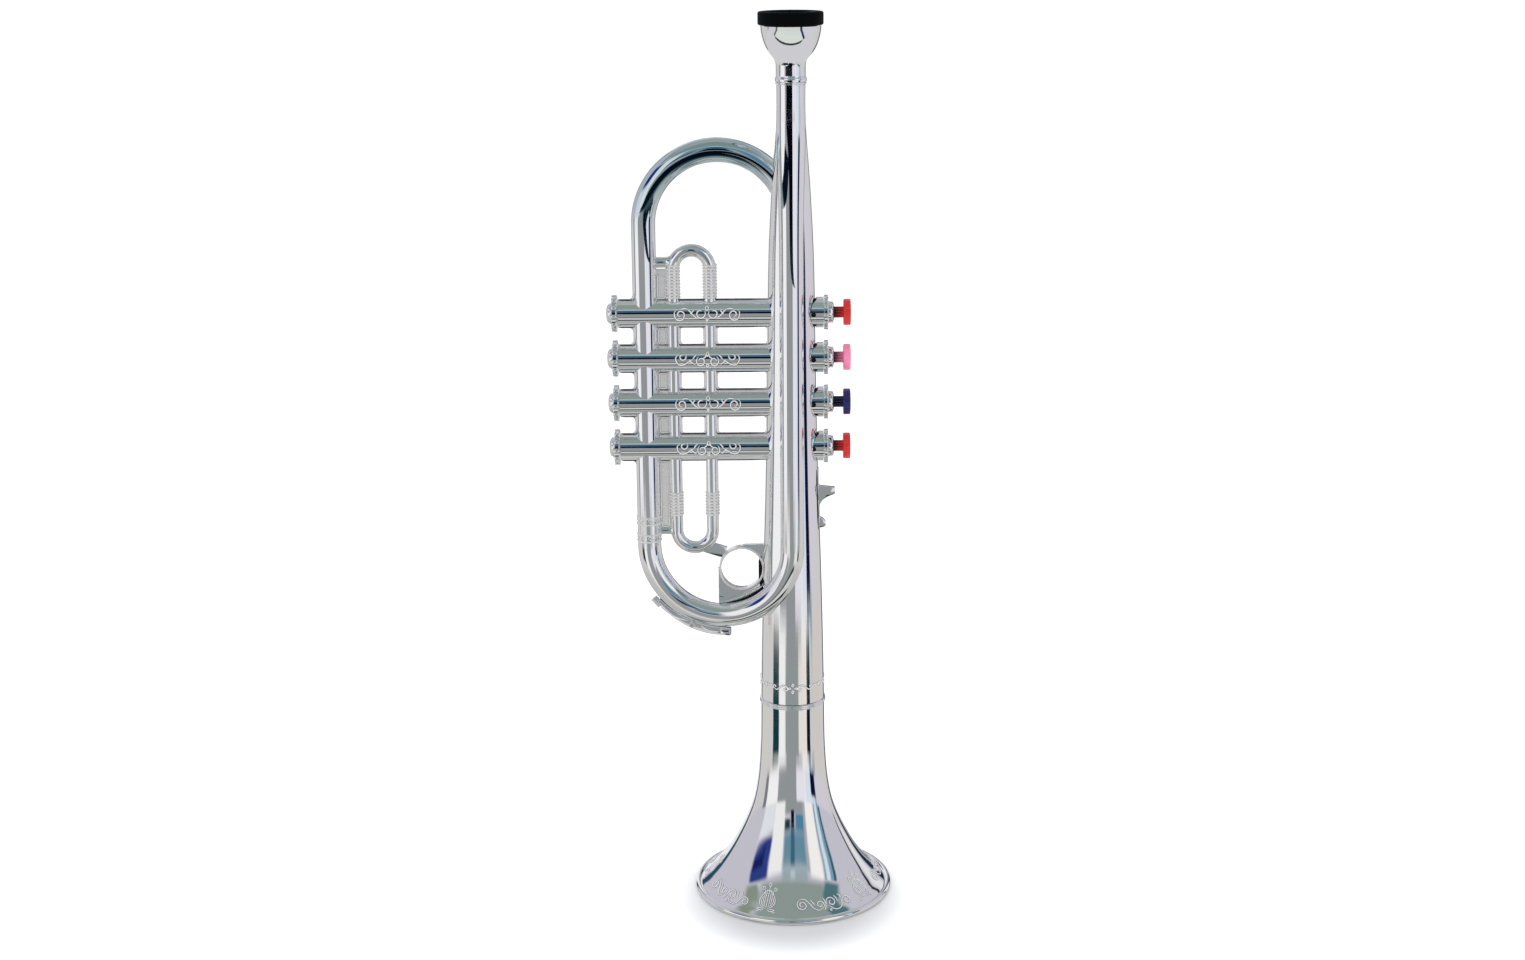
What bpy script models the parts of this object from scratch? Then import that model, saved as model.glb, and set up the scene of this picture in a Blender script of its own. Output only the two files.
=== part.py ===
"""Toy trumpet with four push-button valves, in metres, +Z up, standing on its bell.

The plated body is moulded in two halves that meet on the plane of the valves. The lead pipe stands
in front of the bell tube, turns left through the lower bow, rises as the left leg and comes back
through the upper bow. Each valve is a casing with a beaded cap at its left end and, on the right,
a sleeve that holds the spring, the pad and the push button.
"""

import math

import bmesh
import bpy
from mathutils import Matrix, Vector

# General clearances
fit_gap = 0.0003
cut_overrun = 0.002
moulding_wall = 0.0015

# Bell: the flare from its rim up to the joint ring, and the spigot above it
bell_height = 0.0967
bell_rim_radius = 0.0477
bell_neck_radius = 0.0152
rim_lip_height = 0.0030
rim_lip_width = 0.0014
rim_edge_chamfer = 0.0006
rim_foot_width = 0.0030
joint_bead_height = 0.0022
joint_bead_proud = 0.0006
spigot_length = 0.0090
spigot_wall = 0.0014

# Column: the bell tube, which leans forward into the lead pipe at its top
column_base_radius = 0.0152
lead_pipe_head = 0.0111

# Main tube: lead pipe, lower bow, left leg and upper bow
tube_radius = 0.0055
lead_pipe_forward = 0.0115
lead_pipe_length = 0.2153
lower_bow_rise = 0.0758
loop_span = 0.0670
upper_bow_drop = 0.0644
partition_thickness = 0.0040
tube_joint_gap = 0.0005
upper_bow_end = math.radians(12)

# Small inner tubes, which cross the casings
small_tube_radius = 0.0029
small_bow_radius = 0.0084
small_loop_share = 0.6791
small_leg_rise = 0.0066
small_bow_rise = 0.0205
upper_strut_radius = 0.0024
upper_strut_drop = 0.0030
lower_strut_radius = 0.0019

# Web between the left leg and the small tubes, and the flange that frames the windows
web_thickness = 0.0016
web_corner_radius = 0.0025
flange_proud = 0.0006

# Finger ring on its plate, between the lower bow and the column
ring_drop = 0.0120
ring_hole_radius = 0.0097
ring_clearance = 0.0002
ring_wall = 0.0010
ring_depth = 0.0050
ring_plate_thickness = 0.0024
ring_plate_top = 0.0115
ring_plate_left = 0.0111
ring_plate_end = math.radians(-28)
ring_strut_width = 0.0042
ring_strut_turn = math.radians(135)
small_strut_turn = math.radians(-64)

# Valve casings
valve_pitch = 0.0210
valves_above_middle = 0.00315
casing_radius = 0.0062
casing_bore_radius = 0.0048
casing_overhang = 0.0124
casing_right_reach = 0.0124
stub_clearance = 0.0003

# Bottom caps, at the left ends of the casings
bottom_cap_radius = 0.00855
bottom_cap_thickness = 0.0024
bottom_cap_groove = 0.0004
bottom_dome_radius = 0.0045
bottom_dome_height = 0.0026
cap_spigot_length = 0.0040

# Head sleeves, right of the column
sleeve_radius = 0.0070
sleeve_start = 0.0040
sleeve_end = 0.0147
sleeve_neck_length = 0.0020
sound_hole_radius = 0.00115
sound_hole_offset = 0.0101

# Top caps
top_cap_radius = 0.0081
top_cap_thickness = 0.0019
top_nose_radius = 0.00495
top_nose_height = 0.0027
top_nose_lip_radius = 0.0040
stem_hole_radius = 0.0030
top_spigot_length = 0.0015

# Push buttons and their plungers
button_travel = 0.0035
button_stop_gap = 0.0008
button_radius = 0.0060
button_thickness = 0.0035
button_edge_radius = 0.0006
button_crown = 0.0004
stem_width = 0.0051
stem_fin_thickness = 0.0016
stem_core_radius = 0.0013
plunger_flange_radius = 0.0043
plunger_flange_thickness = 0.0013
rod_radius = 0.0011
knob_radius = 0.0020
knob_thickness = 0.0012

# Valve seat, pad and spring
seat_offset = 0.0024
seat_thickness = 0.0014
seat_hole_radius = 0.0019
seat_radius = casing_bore_radius - fit_gap
pad_radius = 0.0034
pad_thickness = 0.0012
spring_wire_radius = 0.00025
spring_coil_radius = 0.00365
spring_turns = 4.5
spring_points_per_turn = 8

# Reed plates and reeds
reed_block_offset = 0.0070
reed_block_length = 0.0230
reed_block_radius = casing_bore_radius - fit_gap
reed_plate_thickness = 0.0016
reed_end_wall = 0.0014
reed_length = 0.0160
reed_width = 0.0022
reed_thickness = 0.00025
reed_gap = 0.0001
reed_slot_share = 0.75
reed_slot_play = 0.0002

# Mouthpiece
cup_height = 0.0240
cup_mouth_radius = 0.0136
cup_wall = 0.0018
cup_throat_radius = 0.0019
shank_length = 0.0160
shank_wall = 0.0018
lip_rim_radius = 0.0145
lip_rim_height = 0.0058
lip_rim_hole_radius = 0.0086
lip_rim_edge = 0.0007
lip_rim_tongue = 0.0030

# Water key under the lower bow
key_gap = 0.0006
key_thickness = 0.0032
key_grip_radius = 0.0019
key_grip_groove = 0.0003
key_grip_length = 0.0050
key_grip_ribs = 4
key_grip_turn = math.radians(223)
key_tip_turn = math.radians(273)
key_blade_depth = 0.0035
key_tip_length = 0.0047
key_tip_drop = 0.0036
key_tip_proud = 0.0003
key_boss_radius = 0.0013
key_boss_proud = 0.0010

# Finger hook, in a pocket on the right of the column
hook_drop = 0.0106
hook_length = 0.0288
hook_strip_width = 0.0014
hook_proud = 0.0003
hook_slot = 0.0009
hook_reach = 0.0073
hook_depth = 0.0030
hook_pad_wall = 0.0010

# Numbers of sides and steps
column_sides = 24
bell_sides = 36
mouthpiece_sides = 24
cap_sides = 16
tube_sides = 12
bore_sides = 10
small_tube_sides = 10
strut_sides = 8
wire_sides = 4
small_sides = 16
bow_steps = 14
small_bow_steps = 10
plate_steps = 8

# Flare outline: share of the bell's height, and share of the step from neck to rim
flare_shares = (
    (1.000, 0.000),
    (0.745, 0.015),
    (0.579, 0.055),
    (0.455, 0.129),
    (0.352, 0.246),
    (0.269, 0.371),
    (0.196, 0.498),
    (0.134, 0.631),
    (0.083, 0.778),
    (0.045, 0.905),
)

# Column: share of its length, radius as a share of its base, and share of the lean forward
column_shares = (
    (0.000, 1.000, 0.00),
    (0.061, 0.980, 0.00),
    (0.133, 0.954, 0.00),
    (0.240, 0.901, 0.00),
    (0.347, 0.836, 0.00),
    (0.479, 0.776, 0.00),
    (0.626, 0.730, 0.00),
    (0.701, 0.711, 0.00),
    (0.761, 0.684, 0.02),
    (0.847, 0.605, 0.17),
    (0.900, 0.539, 0.45),
    (0.940, 0.480, 0.75),
    (0.979, 0.427, 0.97),
)

# Lead pipe: share of its length from the top, and radius as a share of the tube's
lead_pipe_shares = (
    (0.000, 1.18),
    (0.043, 1.17),
    (0.100, 1.20),
    (0.180, 1.13),
    (0.250, 1.05),
    (0.320, 1.01),
)

# Cup outline: share of the cup's height, and radius as a share of its mouth
cup_outer_shares = (
    (1.00, 1.000),
    (0.79, 0.940),
    (0.66, 0.865),
    (0.55, 0.765),
    (0.46, 0.635),
    (0.40, 0.545),
    (0.32, 0.507),
    (0.07, 0.493),
    (0.06, 0.522),
    (0.00, 0.522),
)
cup_inner_shares = (
    (0.36, 0.140),
    (0.43, 0.220),
    (0.52, 0.430),
    (0.64, 0.660),
    (0.78, 0.800),
    (0.85, 0.868),
)

# Domed end of a bottom cap: share of the dome's height, and radius as a share of its base
dome_shares = (
    (0.00, 1.00),
    (0.55, 0.92),
    (0.88, 0.62),
    (1.00, 0.00),
)

# Water key's blade: share of the way from grip to tip, and depth as a share of its deepest
key_blade_shares = (
    (0.000, 0.50),
    (0.125, 0.60),
    (0.250, 0.70),
    (0.375, 0.79),
    (0.500, 0.87),
    (0.625, 0.93),
    (0.750, 0.98),
    (0.875, 1.00),
    (1.000, 0.96),
)
key_boss_share = 0.55

# Finger hook's outer side, downwards: share of its reach, and share of the strip's length
hook_outline_shares = (
    (0.00, 1.000),
    (0.00, 0.730),
    (0.08, 0.700),
    (1.00, 0.675),
    (1.00, 0.565),
    (0.60, 0.530),
    (0.38, 0.500),
    (0.11, 0.434),
    (0.00, 0.378),
    (0.00, 0.175),
    (0.34, 0.100),
    (0.34, 0.030),
    (0.00, 0.000),
)

# Derived places
column_base = bell_height + joint_bead_height / 2 + fit_gap
lower_bow_height = column_base + lower_bow_rise
lead_pipe_top = lower_bow_height + lead_pipe_length
upper_bow_height = lead_pipe_top - upper_bow_drop
column_length = lead_pipe_top - lead_pipe_head - column_base
valves_middle = (lower_bow_height + upper_bow_height) / 2 + valves_above_middle
valve_heights = [valves_middle + valve_pitch * index / 2 for index in (3, 1, -1, -3)]
casing_left_reach = loop_span + casing_overhang
left_reach = casing_left_reach + fit_gap + bottom_cap_thickness + bottom_dome_height
column_place = Vector(((left_reach - bell_rim_radius) / 2, 0, 0))
small_loop_offset = loop_span * small_loop_share
small_leg_bottom = lower_bow_height + small_leg_rise
small_leg_top = valve_heights[0] + small_bow_rise
ring_height = lower_bow_height - ring_drop
hook_bottom = valve_heights[3] - hook_drop - hook_length
cup_base = lead_pipe_top + fit_gap
lip_rim_base = cup_base + cup_height + fit_gap
top_cap_reach = sleeve_end + fit_gap + top_cap_thickness + top_nose_height
button_reach = top_cap_reach + button_stop_gap + button_travel + button_thickness
hook_pocket_depth = hook_strip_width - hook_proud + hook_slot
key_stretch = math.hypot(lead_pipe_forward, loop_span) / loop_span

finishes = {
    "chrome": ((0.80, 0.80, 0.81), 0.12, 1.0),
    "black_rim": ((0.012, 0.012, 0.014), 0.38, 0.0),
    "red_button": ((0.70, 0.030, 0.022), 0.32, 0.0),
    "pink_button": ((0.84, 0.22, 0.40), 0.32, 0.0),
    "navy_button": ((0.020, 0.013, 0.16), 0.32, 0.0),
    "white_plastic": ((0.82, 0.81, 0.77), 0.45, 0.0),
    "pad_rubber": ((0.05, 0.05, 0.055), 0.80, 0.0),
    "spring_steel": ((0.55, 0.56, 0.58), 0.30, 1.0),
    "reed_brass": ((0.72, 0.50, 0.18), 0.28, 1.0),
}
button_finishes = ("red_button", "pink_button", "navy_button", "red_button")


def clear_scene():
    """Removes every object that the file started with."""
    for obj in list(bpy.data.objects):
        bpy.data.objects.remove(obj, do_unlink=True)


def collection(name):
    """A new collection in the scene."""
    made = bpy.data.collections.new(name)
    bpy.context.scene.collection.children.link(made)
    return made


def material(name):
    """The Principled material of one finish, made once."""
    found = bpy.data.materials.get(name)
    if found:
        return found
    colour, roughness, metallic = finishes[name]
    made = bpy.data.materials.new(name)
    made.use_nodes = True
    shader = made.node_tree.nodes["Principled BSDF"]
    shader.inputs["Base Color"].default_value = (*colour, 1)
    shader.inputs["Roughness"].default_value = roughness
    shader.inputs["Metallic"].default_value = metallic
    made.diffuse_color = (*colour, 1)
    return made


def place(obj, finish, where=(0, 0, 0), turn=(0, 0, 0)):
    """Puts a finished piece in the trumpet's collection, measured from the bell's axis."""
    parts.objects.link(obj)
    obj.parent = origin
    obj.location = where
    obj.rotation_euler = turn
    if finish and not obj.data.materials:
        obj.data.materials.append(material(finish))
    return obj


def helper(obj, group, where=(0, 0, 0), turn=(0, 0, 0)):
    """Puts a cutter or a shape to be joined in its own collection, hidden from renders."""
    group.objects.link(obj)
    obj.parent = origin
    obj.location = where
    obj.rotation_euler = turn
    obj.hide_render = True
    obj.display_type = "WIRE"
    return obj


def turned(name, profile, sides):
    """A turned piece about Z: the profile runs down the outside, then up the inside if it has a bore."""
    mesh = bpy.data.meshes.new(name)
    count = len(profile)
    on_axis = profile[0][0] == 0
    edges = [(index, index + 1) for index in range(count - 1)]
    if not on_axis:
        edges.append((count - 1, 0))
    mesh.from_pydata([(radius, 0, height) for radius, height in profile], edges, [])
    obj = bpy.data.objects.new(name, mesh)
    screw = obj.modifiers.new("Turn", "SCREW")
    screw.angle = math.tau
    screw.steps = sides
    screw.render_steps = sides
    screw.use_merge_vertices = True
    screw.merge_threshold = 1e-6
    screw.use_smooth_shade = True
    return obj


def solid_curve(name, points, radii, sides, cyclic=False):
    """A mesh tube with an even number of sides along a line of points, with its own radius at each point."""
    curve = bpy.data.curves.new(name, "CURVE")
    curve.dimensions = "3D"
    curve.bevel_depth = max(radii)
    curve.bevel_resolution = (sides - 4) // 2
    curve.use_fill_caps = not cyclic
    spline = curve.splines.new("POLY")
    spline.points.add(len(points) - 1)
    spline.use_cyclic_u = cyclic
    for point, spot, radius in zip(spline.points, points, radii):
        point.co = (*spot, 1)
        point.radius = radius / curve.bevel_depth
    return meshed(bpy.data.objects.new(name, curve))


def flat_solid(name, outlines, thickness):
    """A flat plate in the X-Z plane, centred on y = 0, from closed outlines; the inner ones are holes."""
    curve = bpy.data.curves.new(name, "CURVE")
    curve.dimensions = "2D"
    curve.fill_mode = "BOTH"
    curve.extrude = thickness / 2
    for outline in outlines:
        spline = curve.splines.new("POLY")
        spline.points.add(len(outline) - 1)
        spline.use_cyclic_u = True
        for point, (x, z) in zip(spline.points, outline):
            point.co = (x, z, 0, 1)
    obj = meshed(bpy.data.objects.new(name, curve))
    obj.data.transform(Matrix.Rotation(math.radians(90), 4, "X"))
    return obj


def meshed(obj):
    """The object as a plain closed mesh, with its modifiers applied and its normals outward."""
    scratch = bpy.context.scene.collection
    if not obj.users_collection:
        scratch.objects.link(obj)
    bpy.context.view_layer.update()
    graph = bpy.context.evaluated_depsgraph_get()
    mesh = bpy.data.meshes.new_from_object(obj.evaluated_get(graph))
    name = obj.name
    old_data = obj.data
    bpy.data.objects.remove(obj, do_unlink=True)
    if isinstance(old_data, bpy.types.Curve):
        bpy.data.curves.remove(old_data)
    shape = bmesh.new()
    shape.from_mesh(mesh)
    bmesh.ops.remove_doubles(shape, verts=shape.verts, dist=fit_gap / 100)
    bmesh.ops.recalc_face_normals(shape, faces=shape.faces)
    shape.to_mesh(mesh)
    shape.free()
    mesh.name = name
    mesh.materials.clear()
    return bpy.data.objects.new(name, mesh)


def box(name, low, high):
    """A box between two corners."""
    size = Vector(high) - Vector(low)
    middle = (Vector(high) + Vector(low)) / 2
    mesh = bpy.data.meshes.new(name)
    shape = bmesh.new()
    bmesh.ops.create_cube(shape, size=1, matrix=Matrix.Translation(middle) @ Matrix.Diagonal((*size, 1)))
    shape.to_mesh(mesh)
    shape.free()
    return bpy.data.objects.new(name, mesh)


def rod(name, radius, length, sides):
    """A plain cylinder about Z, from z = 0 up."""
    mesh = bpy.data.meshes.new(name)
    shape = bmesh.new()
    middle = Matrix.Translation((0, 0, length / 2))
    bmesh.ops.create_cone(
        shape, cap_ends=True, segments=sides, radius1=radius, radius2=radius, depth=length, matrix=middle
    )
    shape.to_mesh(mesh)
    shape.free()
    return bpy.data.objects.new(name, mesh)


def boolean(obj, operation, other, solver="EXACT"):
    """Adds a Boolean with another object."""
    modifier = obj.modifiers.new(operation.title(), "BOOLEAN")
    modifier.operation = operation
    modifier.solver = solver
    modifier.object = other


def carved(obj, operation, others, group):
    """The object as a plain mesh after one Boolean for each of the others, tidied after each."""
    for other in list(others):
        helper(obj, group)
        boolean(obj, operation, other)
        obj = meshed(obj)
    return obj


def around(centre, radius, turn):
    """The point at an angle and a distance from a centre."""
    return Vector((centre[0] + radius * math.cos(turn), centre[1] + radius * math.sin(turn)))


def arc(centre, radius, start, end, steps):
    """Points on an arc in a plane, from one angle to another."""
    turns = [start + (end - start) * step / steps for step in range(steps + 1)]
    return [tuple(around(centre, radius, turn)) for turn in turns]


def rounded_window(low, high, radius):
    """Outline of a rectangle with rounded corners."""
    quarter = math.radians(90)
    corners = (
        (high[0] - radius, high[1] - radius),
        (low[0] + radius, high[1] - radius),
        (low[0] + radius, low[1] + radius),
        (high[0] - radius, low[1] + radius),
    )
    outline = []
    for index, corner in enumerate(corners):
        outline += arc(corner, radius, quarter * index, quarter * (index + 1), 2)
    return outline


def column_radius(height):
    """Outer radius of the column at a height above the bell's rim."""
    share = (height - column_base) / column_length
    for low, high in zip(column_shares, column_shares[1:]):
        if share <= high[0]:
            part = (share - low[0]) / (high[0] - low[0])
            return column_base_radius * (low[1] + (high[1] - low[1]) * part)
    return column_base_radius * column_shares[-1][1]


def column_solid(name, change, first=0, last=None, overrun=0):
    """The column's tube, with its radius changed by a clearance or a wall."""
    rows = column_shares[first:last]
    points = []
    for share, _, lean in rows:
        points.append(Vector((0, -lead_pipe_forward * lean, column_base + column_length * share)))
    radii = [column_base_radius * wide + change for _, wide, _ in rows]
    points[0].z -= overrun
    return solid_curve(name, points, radii, column_sides)


def lower_bow_point(turn, radius):
    """A point of the lower bow's tilted plane, at an angle and a distance from the bow's centre."""
    x = -loop_span / 2 + radius * math.cos(turn)
    forward = lead_pipe_forward * (x + loop_span) / loop_span
    return Vector((x, -forward, lower_bow_height + radius * math.sin(turn)))


def lower_tube_rows():
    """Centre line and radius of the lead pipe and the lower bow, down from the lead pipe's top."""
    rows = []
    for share, wide in lead_pipe_shares:
        height = lead_pipe_top - lead_pipe_length * share
        rows.append((Vector((0, -lead_pipe_forward, height)), tube_radius * wide))
    for step in range(bow_steps + 1):
        rows.append((lower_bow_point(-math.pi * step / bow_steps, loop_span / 2), tube_radius))
    return rows


def upper_tube_rows():
    """Centre line and radius of the upper bow, from the left leg to its end inside the column."""
    half_span = loop_span / 2
    bow = arc((-half_span, upper_bow_height), half_span, math.pi, upper_bow_end, bow_steps)
    return [(Vector((x, 0, z)), tube_radius) for x, z in bow]


def left_leg_row(height):
    """Centre and radius of the left leg at a height."""
    return Vector((-loop_span, 0, height)), tube_radius


def tube_along(name, rows, sides):
    """A tube along rows of centre and radius."""
    return solid_curve(name, [spot for spot, _ in rows], [radius for _, radius in rows], sides)


def tube_bores(group):
    """The two air ways of the main tube: the blown one up to the partition, and the upper bow's."""
    wall_height = valve_heights[0] + casing_radius
    blown = [*lower_tube_rows(), left_leg_row(wall_height)]
    blown[0][0].z += cut_overrun
    upper = [left_leg_row(wall_height + partition_thickness), *upper_tube_rows()]
    (before, _), (end, radius) = upper[-2:]
    upper.append((end + (end - before).normalized() * cut_overrun, radius))
    for name, rows in (("blown_bore", blown), ("upper_bore", upper)):
        flats = 1 / math.cos(math.pi / bore_sides)
        rows = [(spot, (radius - moulding_wall) * flats) for spot, radius in rows]
        helper(tube_along(name, rows, bore_sides), group)


def small_loop(group):
    """The closed loop of small tube and the two struts that tie it to the left leg."""
    middle = -small_loop_offset
    points = []
    for x, z in arc((middle, small_leg_top), small_bow_radius, 0, math.pi, small_bow_steps):
        points.append(Vector((x, 0, z)))
    for x, z in arc((middle, small_leg_bottom), small_bow_radius, math.pi, math.tau, small_bow_steps):
        points.append(Vector((x, 0, z)))
    radii = [small_tube_radius] * len(points)
    helper(solid_curve("small_loop", points, radii, small_tube_sides, cyclic=True), group)
    near = middle - small_bow_radius
    for name, radius, height in (
        ("upper_strut", upper_strut_radius, small_leg_top + upper_strut_drop),
        ("lower_strut", lower_strut_radius, small_leg_bottom),
    ):
        strut = [Vector((-loop_span, 0, height)), Vector((near, 0, height))]
        helper(solid_curve(name, strut, [radius] * 2, strut_sides), group)


def web(group):
    """The thin web on the parting plane, which frames the windows between the casings."""
    edge = casing_radius + flange_proud
    left = -loop_span
    small_left = -small_loop_offset - small_bow_radius
    right = -column_radius(valve_heights[1]) + moulding_wall / 2
    low, high = valve_heights[3] - edge, valve_heights[0] + edge
    outline = [
        (left, small_leg_bottom),
        (small_left, small_leg_bottom),
        (small_left, low),
        (right, low),
        (right, high),
        (small_left, high),
        (small_left, small_leg_top),
        (left, small_leg_top),
    ]
    inset = small_tube_radius + flange_proud
    spans = (
        (small_left + inset, small_left + 2 * small_bow_radius - inset),
        (small_left + 2 * small_bow_radius + inset, -column_radius(valve_heights[3]) - flange_proud),
    )
    outlines = [outline]
    for upper, lower in zip(valve_heights, valve_heights[1:]):
        for start, end in spans:
            outlines.append(rounded_window((start, lower + edge), (end, upper - edge), web_corner_radius))
    helper(flat_solid("web", outlines, web_thickness), group)


def finger_ring(group, cut):
    """The finger ring: a flat plate with a round rim, between the lower bow and the column."""
    ring_offset = column_radius(ring_height) + ring_hole_radius + ring_clearance
    low_z = lower_bow_height - ring_height
    left = -ring_offset - ring_plate_left
    bow_inside = loop_span / 2 - tube_radius / 2
    start = -math.acos((left + loop_span / 2) / bow_inside)
    curve = arc((-loop_span / 2, low_z), bow_inside, start, ring_plate_end, plate_steps)
    inside = -column_radius(ring_height) + moulding_wall / 2
    top = ring_plate_top
    outline = [*curve, (inside, curve[-1][1]), (inside, top), (-ring_offset, top), (left, 0)]
    helper(flat_solid("ring_plate", [outline], ring_plate_thickness), group, (0, 0, ring_height))
    sideways = (math.radians(90), 0, 0)
    rim = rod("ring_rim", ring_hole_radius + ring_wall, ring_depth, column_sides)
    helper(rim, group, (-ring_offset, ring_depth / 2, ring_height), sideways)
    hole = rod("ring_hole", ring_hole_radius, 2 * ring_depth, column_sides)
    helper(hole, cut, (-ring_offset, ring_depth, ring_height), sideways)
    start = around((-small_loop_offset, small_leg_bottom), small_bow_radius, small_strut_turn)
    end = around((-ring_offset, ring_height), ring_hole_radius + ring_wall / 2, ring_strut_turn)
    along = (end - start).normalized()
    across = Vector((-along.y, along.x)) * ring_strut_width / 2
    strut = [tuple(corner) for corner in (start - across, end - across, end + across, start + across)]
    helper(flat_solid("ring_strut", [strut], ring_plate_thickness), group)


def beside_column(name, near, far, low, high, thickness):
    """A plate that follows the column's right side, between two changes of its radius."""
    heights = [low + (high - low) * step / plate_steps for step in range(plate_steps + 1)]
    inner = [(column_radius(height) + near, height) for height in heights]
    outer = [(column_radius(height) + far, height) for height in reversed(heights)]
    return flat_solid(name, [inner + outer], thickness)


def hook_pocket(group, cut):
    """The pocket that holds the finger hook, and the pad behind it inside the column."""
    low, high = hook_bottom - fit_gap, hook_bottom + hook_length + fit_gap
    wall = hook_pad_wall
    wide = hook_depth + 2 * fit_gap
    back = -hook_pocket_depth
    pad = beside_column("hook_pad", back - wall, -moulding_wall / 2, low - wall, high + wall, wide + 2 * wall)
    helper(pad, group)
    helper(beside_column("hook_pocket", back, cut_overrun, low, high, wide), cut)


def body_tools():
    """Collections of what is joined to the column and what is cut from it."""
    joined = collection("body_joined")
    cut = collection("body_cuts")
    inside_casing = valve_heights[1]
    lower = [*lower_tube_rows(), left_leg_row(inside_casing - tube_joint_gap)]
    upper = [left_leg_row(inside_casing + tube_joint_gap), *upper_tube_rows()]
    helper(tube_along("lower_tube", lower, tube_sides), joined)
    helper(tube_along("upper_tube", upper, tube_sides), joined)
    small_loop(joined)
    web(joined)
    finger_ring(joined, cut)
    hook_pocket(joined, cut)
    tube_bores(cut)
    sideways = (0, math.radians(90), 0)
    length = casing_left_reach + casing_right_reach
    for number, height in enumerate(valve_heights, 1):
        start = (-casing_left_reach, 0, height)
        helper(rod(f"casing_{number}", casing_radius, length, small_sides), joined, start, sideways)
        start = (-casing_left_reach - cut_overrun, 0, height)
        reach = length + 2 * cut_overrun
        helper(rod(f"casing_bore_{number}", casing_bore_radius, reach, small_sides), cut, start, sideways)
        forward = (math.radians(90), 0, 0)
        hole = rod(f"stub_hole_{number}", sound_hole_radius, casing_radius + cut_overrun, small_sides // 2)
        helper(hole, cut, (sound_hole_offset, 0, height), forward)
    return joined, cut


def body():
    """The two halves of the body: column, tubes, casings, web and finger ring, hollowed, then parted."""
    joined, cut = body_tools()
    tools = collection("body_parting")
    hollow = helper(column_solid("column_hollow", -moulding_wall, 0, -2, cut_overrun), tools)
    whole = carved(column_solid("body_whole", 0), "DIFFERENCE", [hollow], tools)
    whole = carved(whole, "UNION", joined.objects, tools)
    shell = carved(whole, "DIFFERENCE", cut.objects, tools).data
    reach = 2 * bell_rim_radius
    low, high = -left_reach - cut_overrun, bell_rim_radius
    top = lead_pipe_top + 2 * cut_overrun
    for name, side in (("body_front_half", -1), ("body_back_half", 1)):
        near = side * reach
        far = side * fit_gap / 2
        keep = box(f"{name}_keep", (low, min(near, far), 0), (high, max(near, far), top))
        half = place(bpy.data.objects.new(name, shell.copy()), "chrome")
        # The exact solver keeps nothing of this shell when it is parted through the web.
        boolean(half, "INTERSECT", helper(keep, tools), "MANIFOLD")


def offset_inwards(outline, wall):
    """A line beside an outline of (radius, height) points, a wall's thickness nearer the axis."""
    shifted = []
    for index, (radius, height) in enumerate(outline):
        before = outline[max(index - 1, 0)]
        after = outline[min(index + 1, len(outline) - 1)]
        run = Vector((after[0] - before[0], after[1] - before[1])).normalized()
        shifted.append((radius + run.y * wall, height - run.x * wall))
    return shifted


def bell():
    """The flared bell with its rolled rim, its joint bead and the spigot that enters the body."""
    step = bell_rim_radius - rim_lip_width - bell_neck_radius
    flare = [(bell_neck_radius + step * wide, bell_height * high) for high, wide in flare_shares]
    bead_low = bell_height - joint_bead_height / 2
    bead_high = bell_height + joint_bead_height / 2
    bead_radius = bell_neck_radius + joint_bead_proud
    spigot_radius = column_base_radius - moulding_wall - fit_gap
    inner = offset_inwards(flare, moulding_wall)
    outline = [
        (spigot_radius, bead_high + spigot_length),
        (spigot_radius, bead_high),
        (bell_neck_radius, bead_high),
        (bead_radius, bell_height + joint_bead_height / 4),
        (bead_radius, bell_height - joint_bead_height / 4),
        (bell_neck_radius, bead_low),
        *flare[1:],
        (bell_rim_radius - rim_lip_width, rim_lip_height),
        (bell_rim_radius - rim_edge_chamfer, rim_lip_height),
        (bell_rim_radius, rim_lip_height - rim_edge_chamfer),
        (bell_rim_radius, rim_edge_chamfer),
        (bell_rim_radius - rim_edge_chamfer, 0),
        (bell_rim_radius - rim_foot_width, 0),
        *reversed(inner[1:]),
        (spigot_radius - spigot_wall, bead_low - spigot_length / 2),
        (spigot_radius - spigot_wall, bead_high + spigot_length),
    ]
    place(turned("bell", outline, bell_sides), "chrome")


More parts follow.
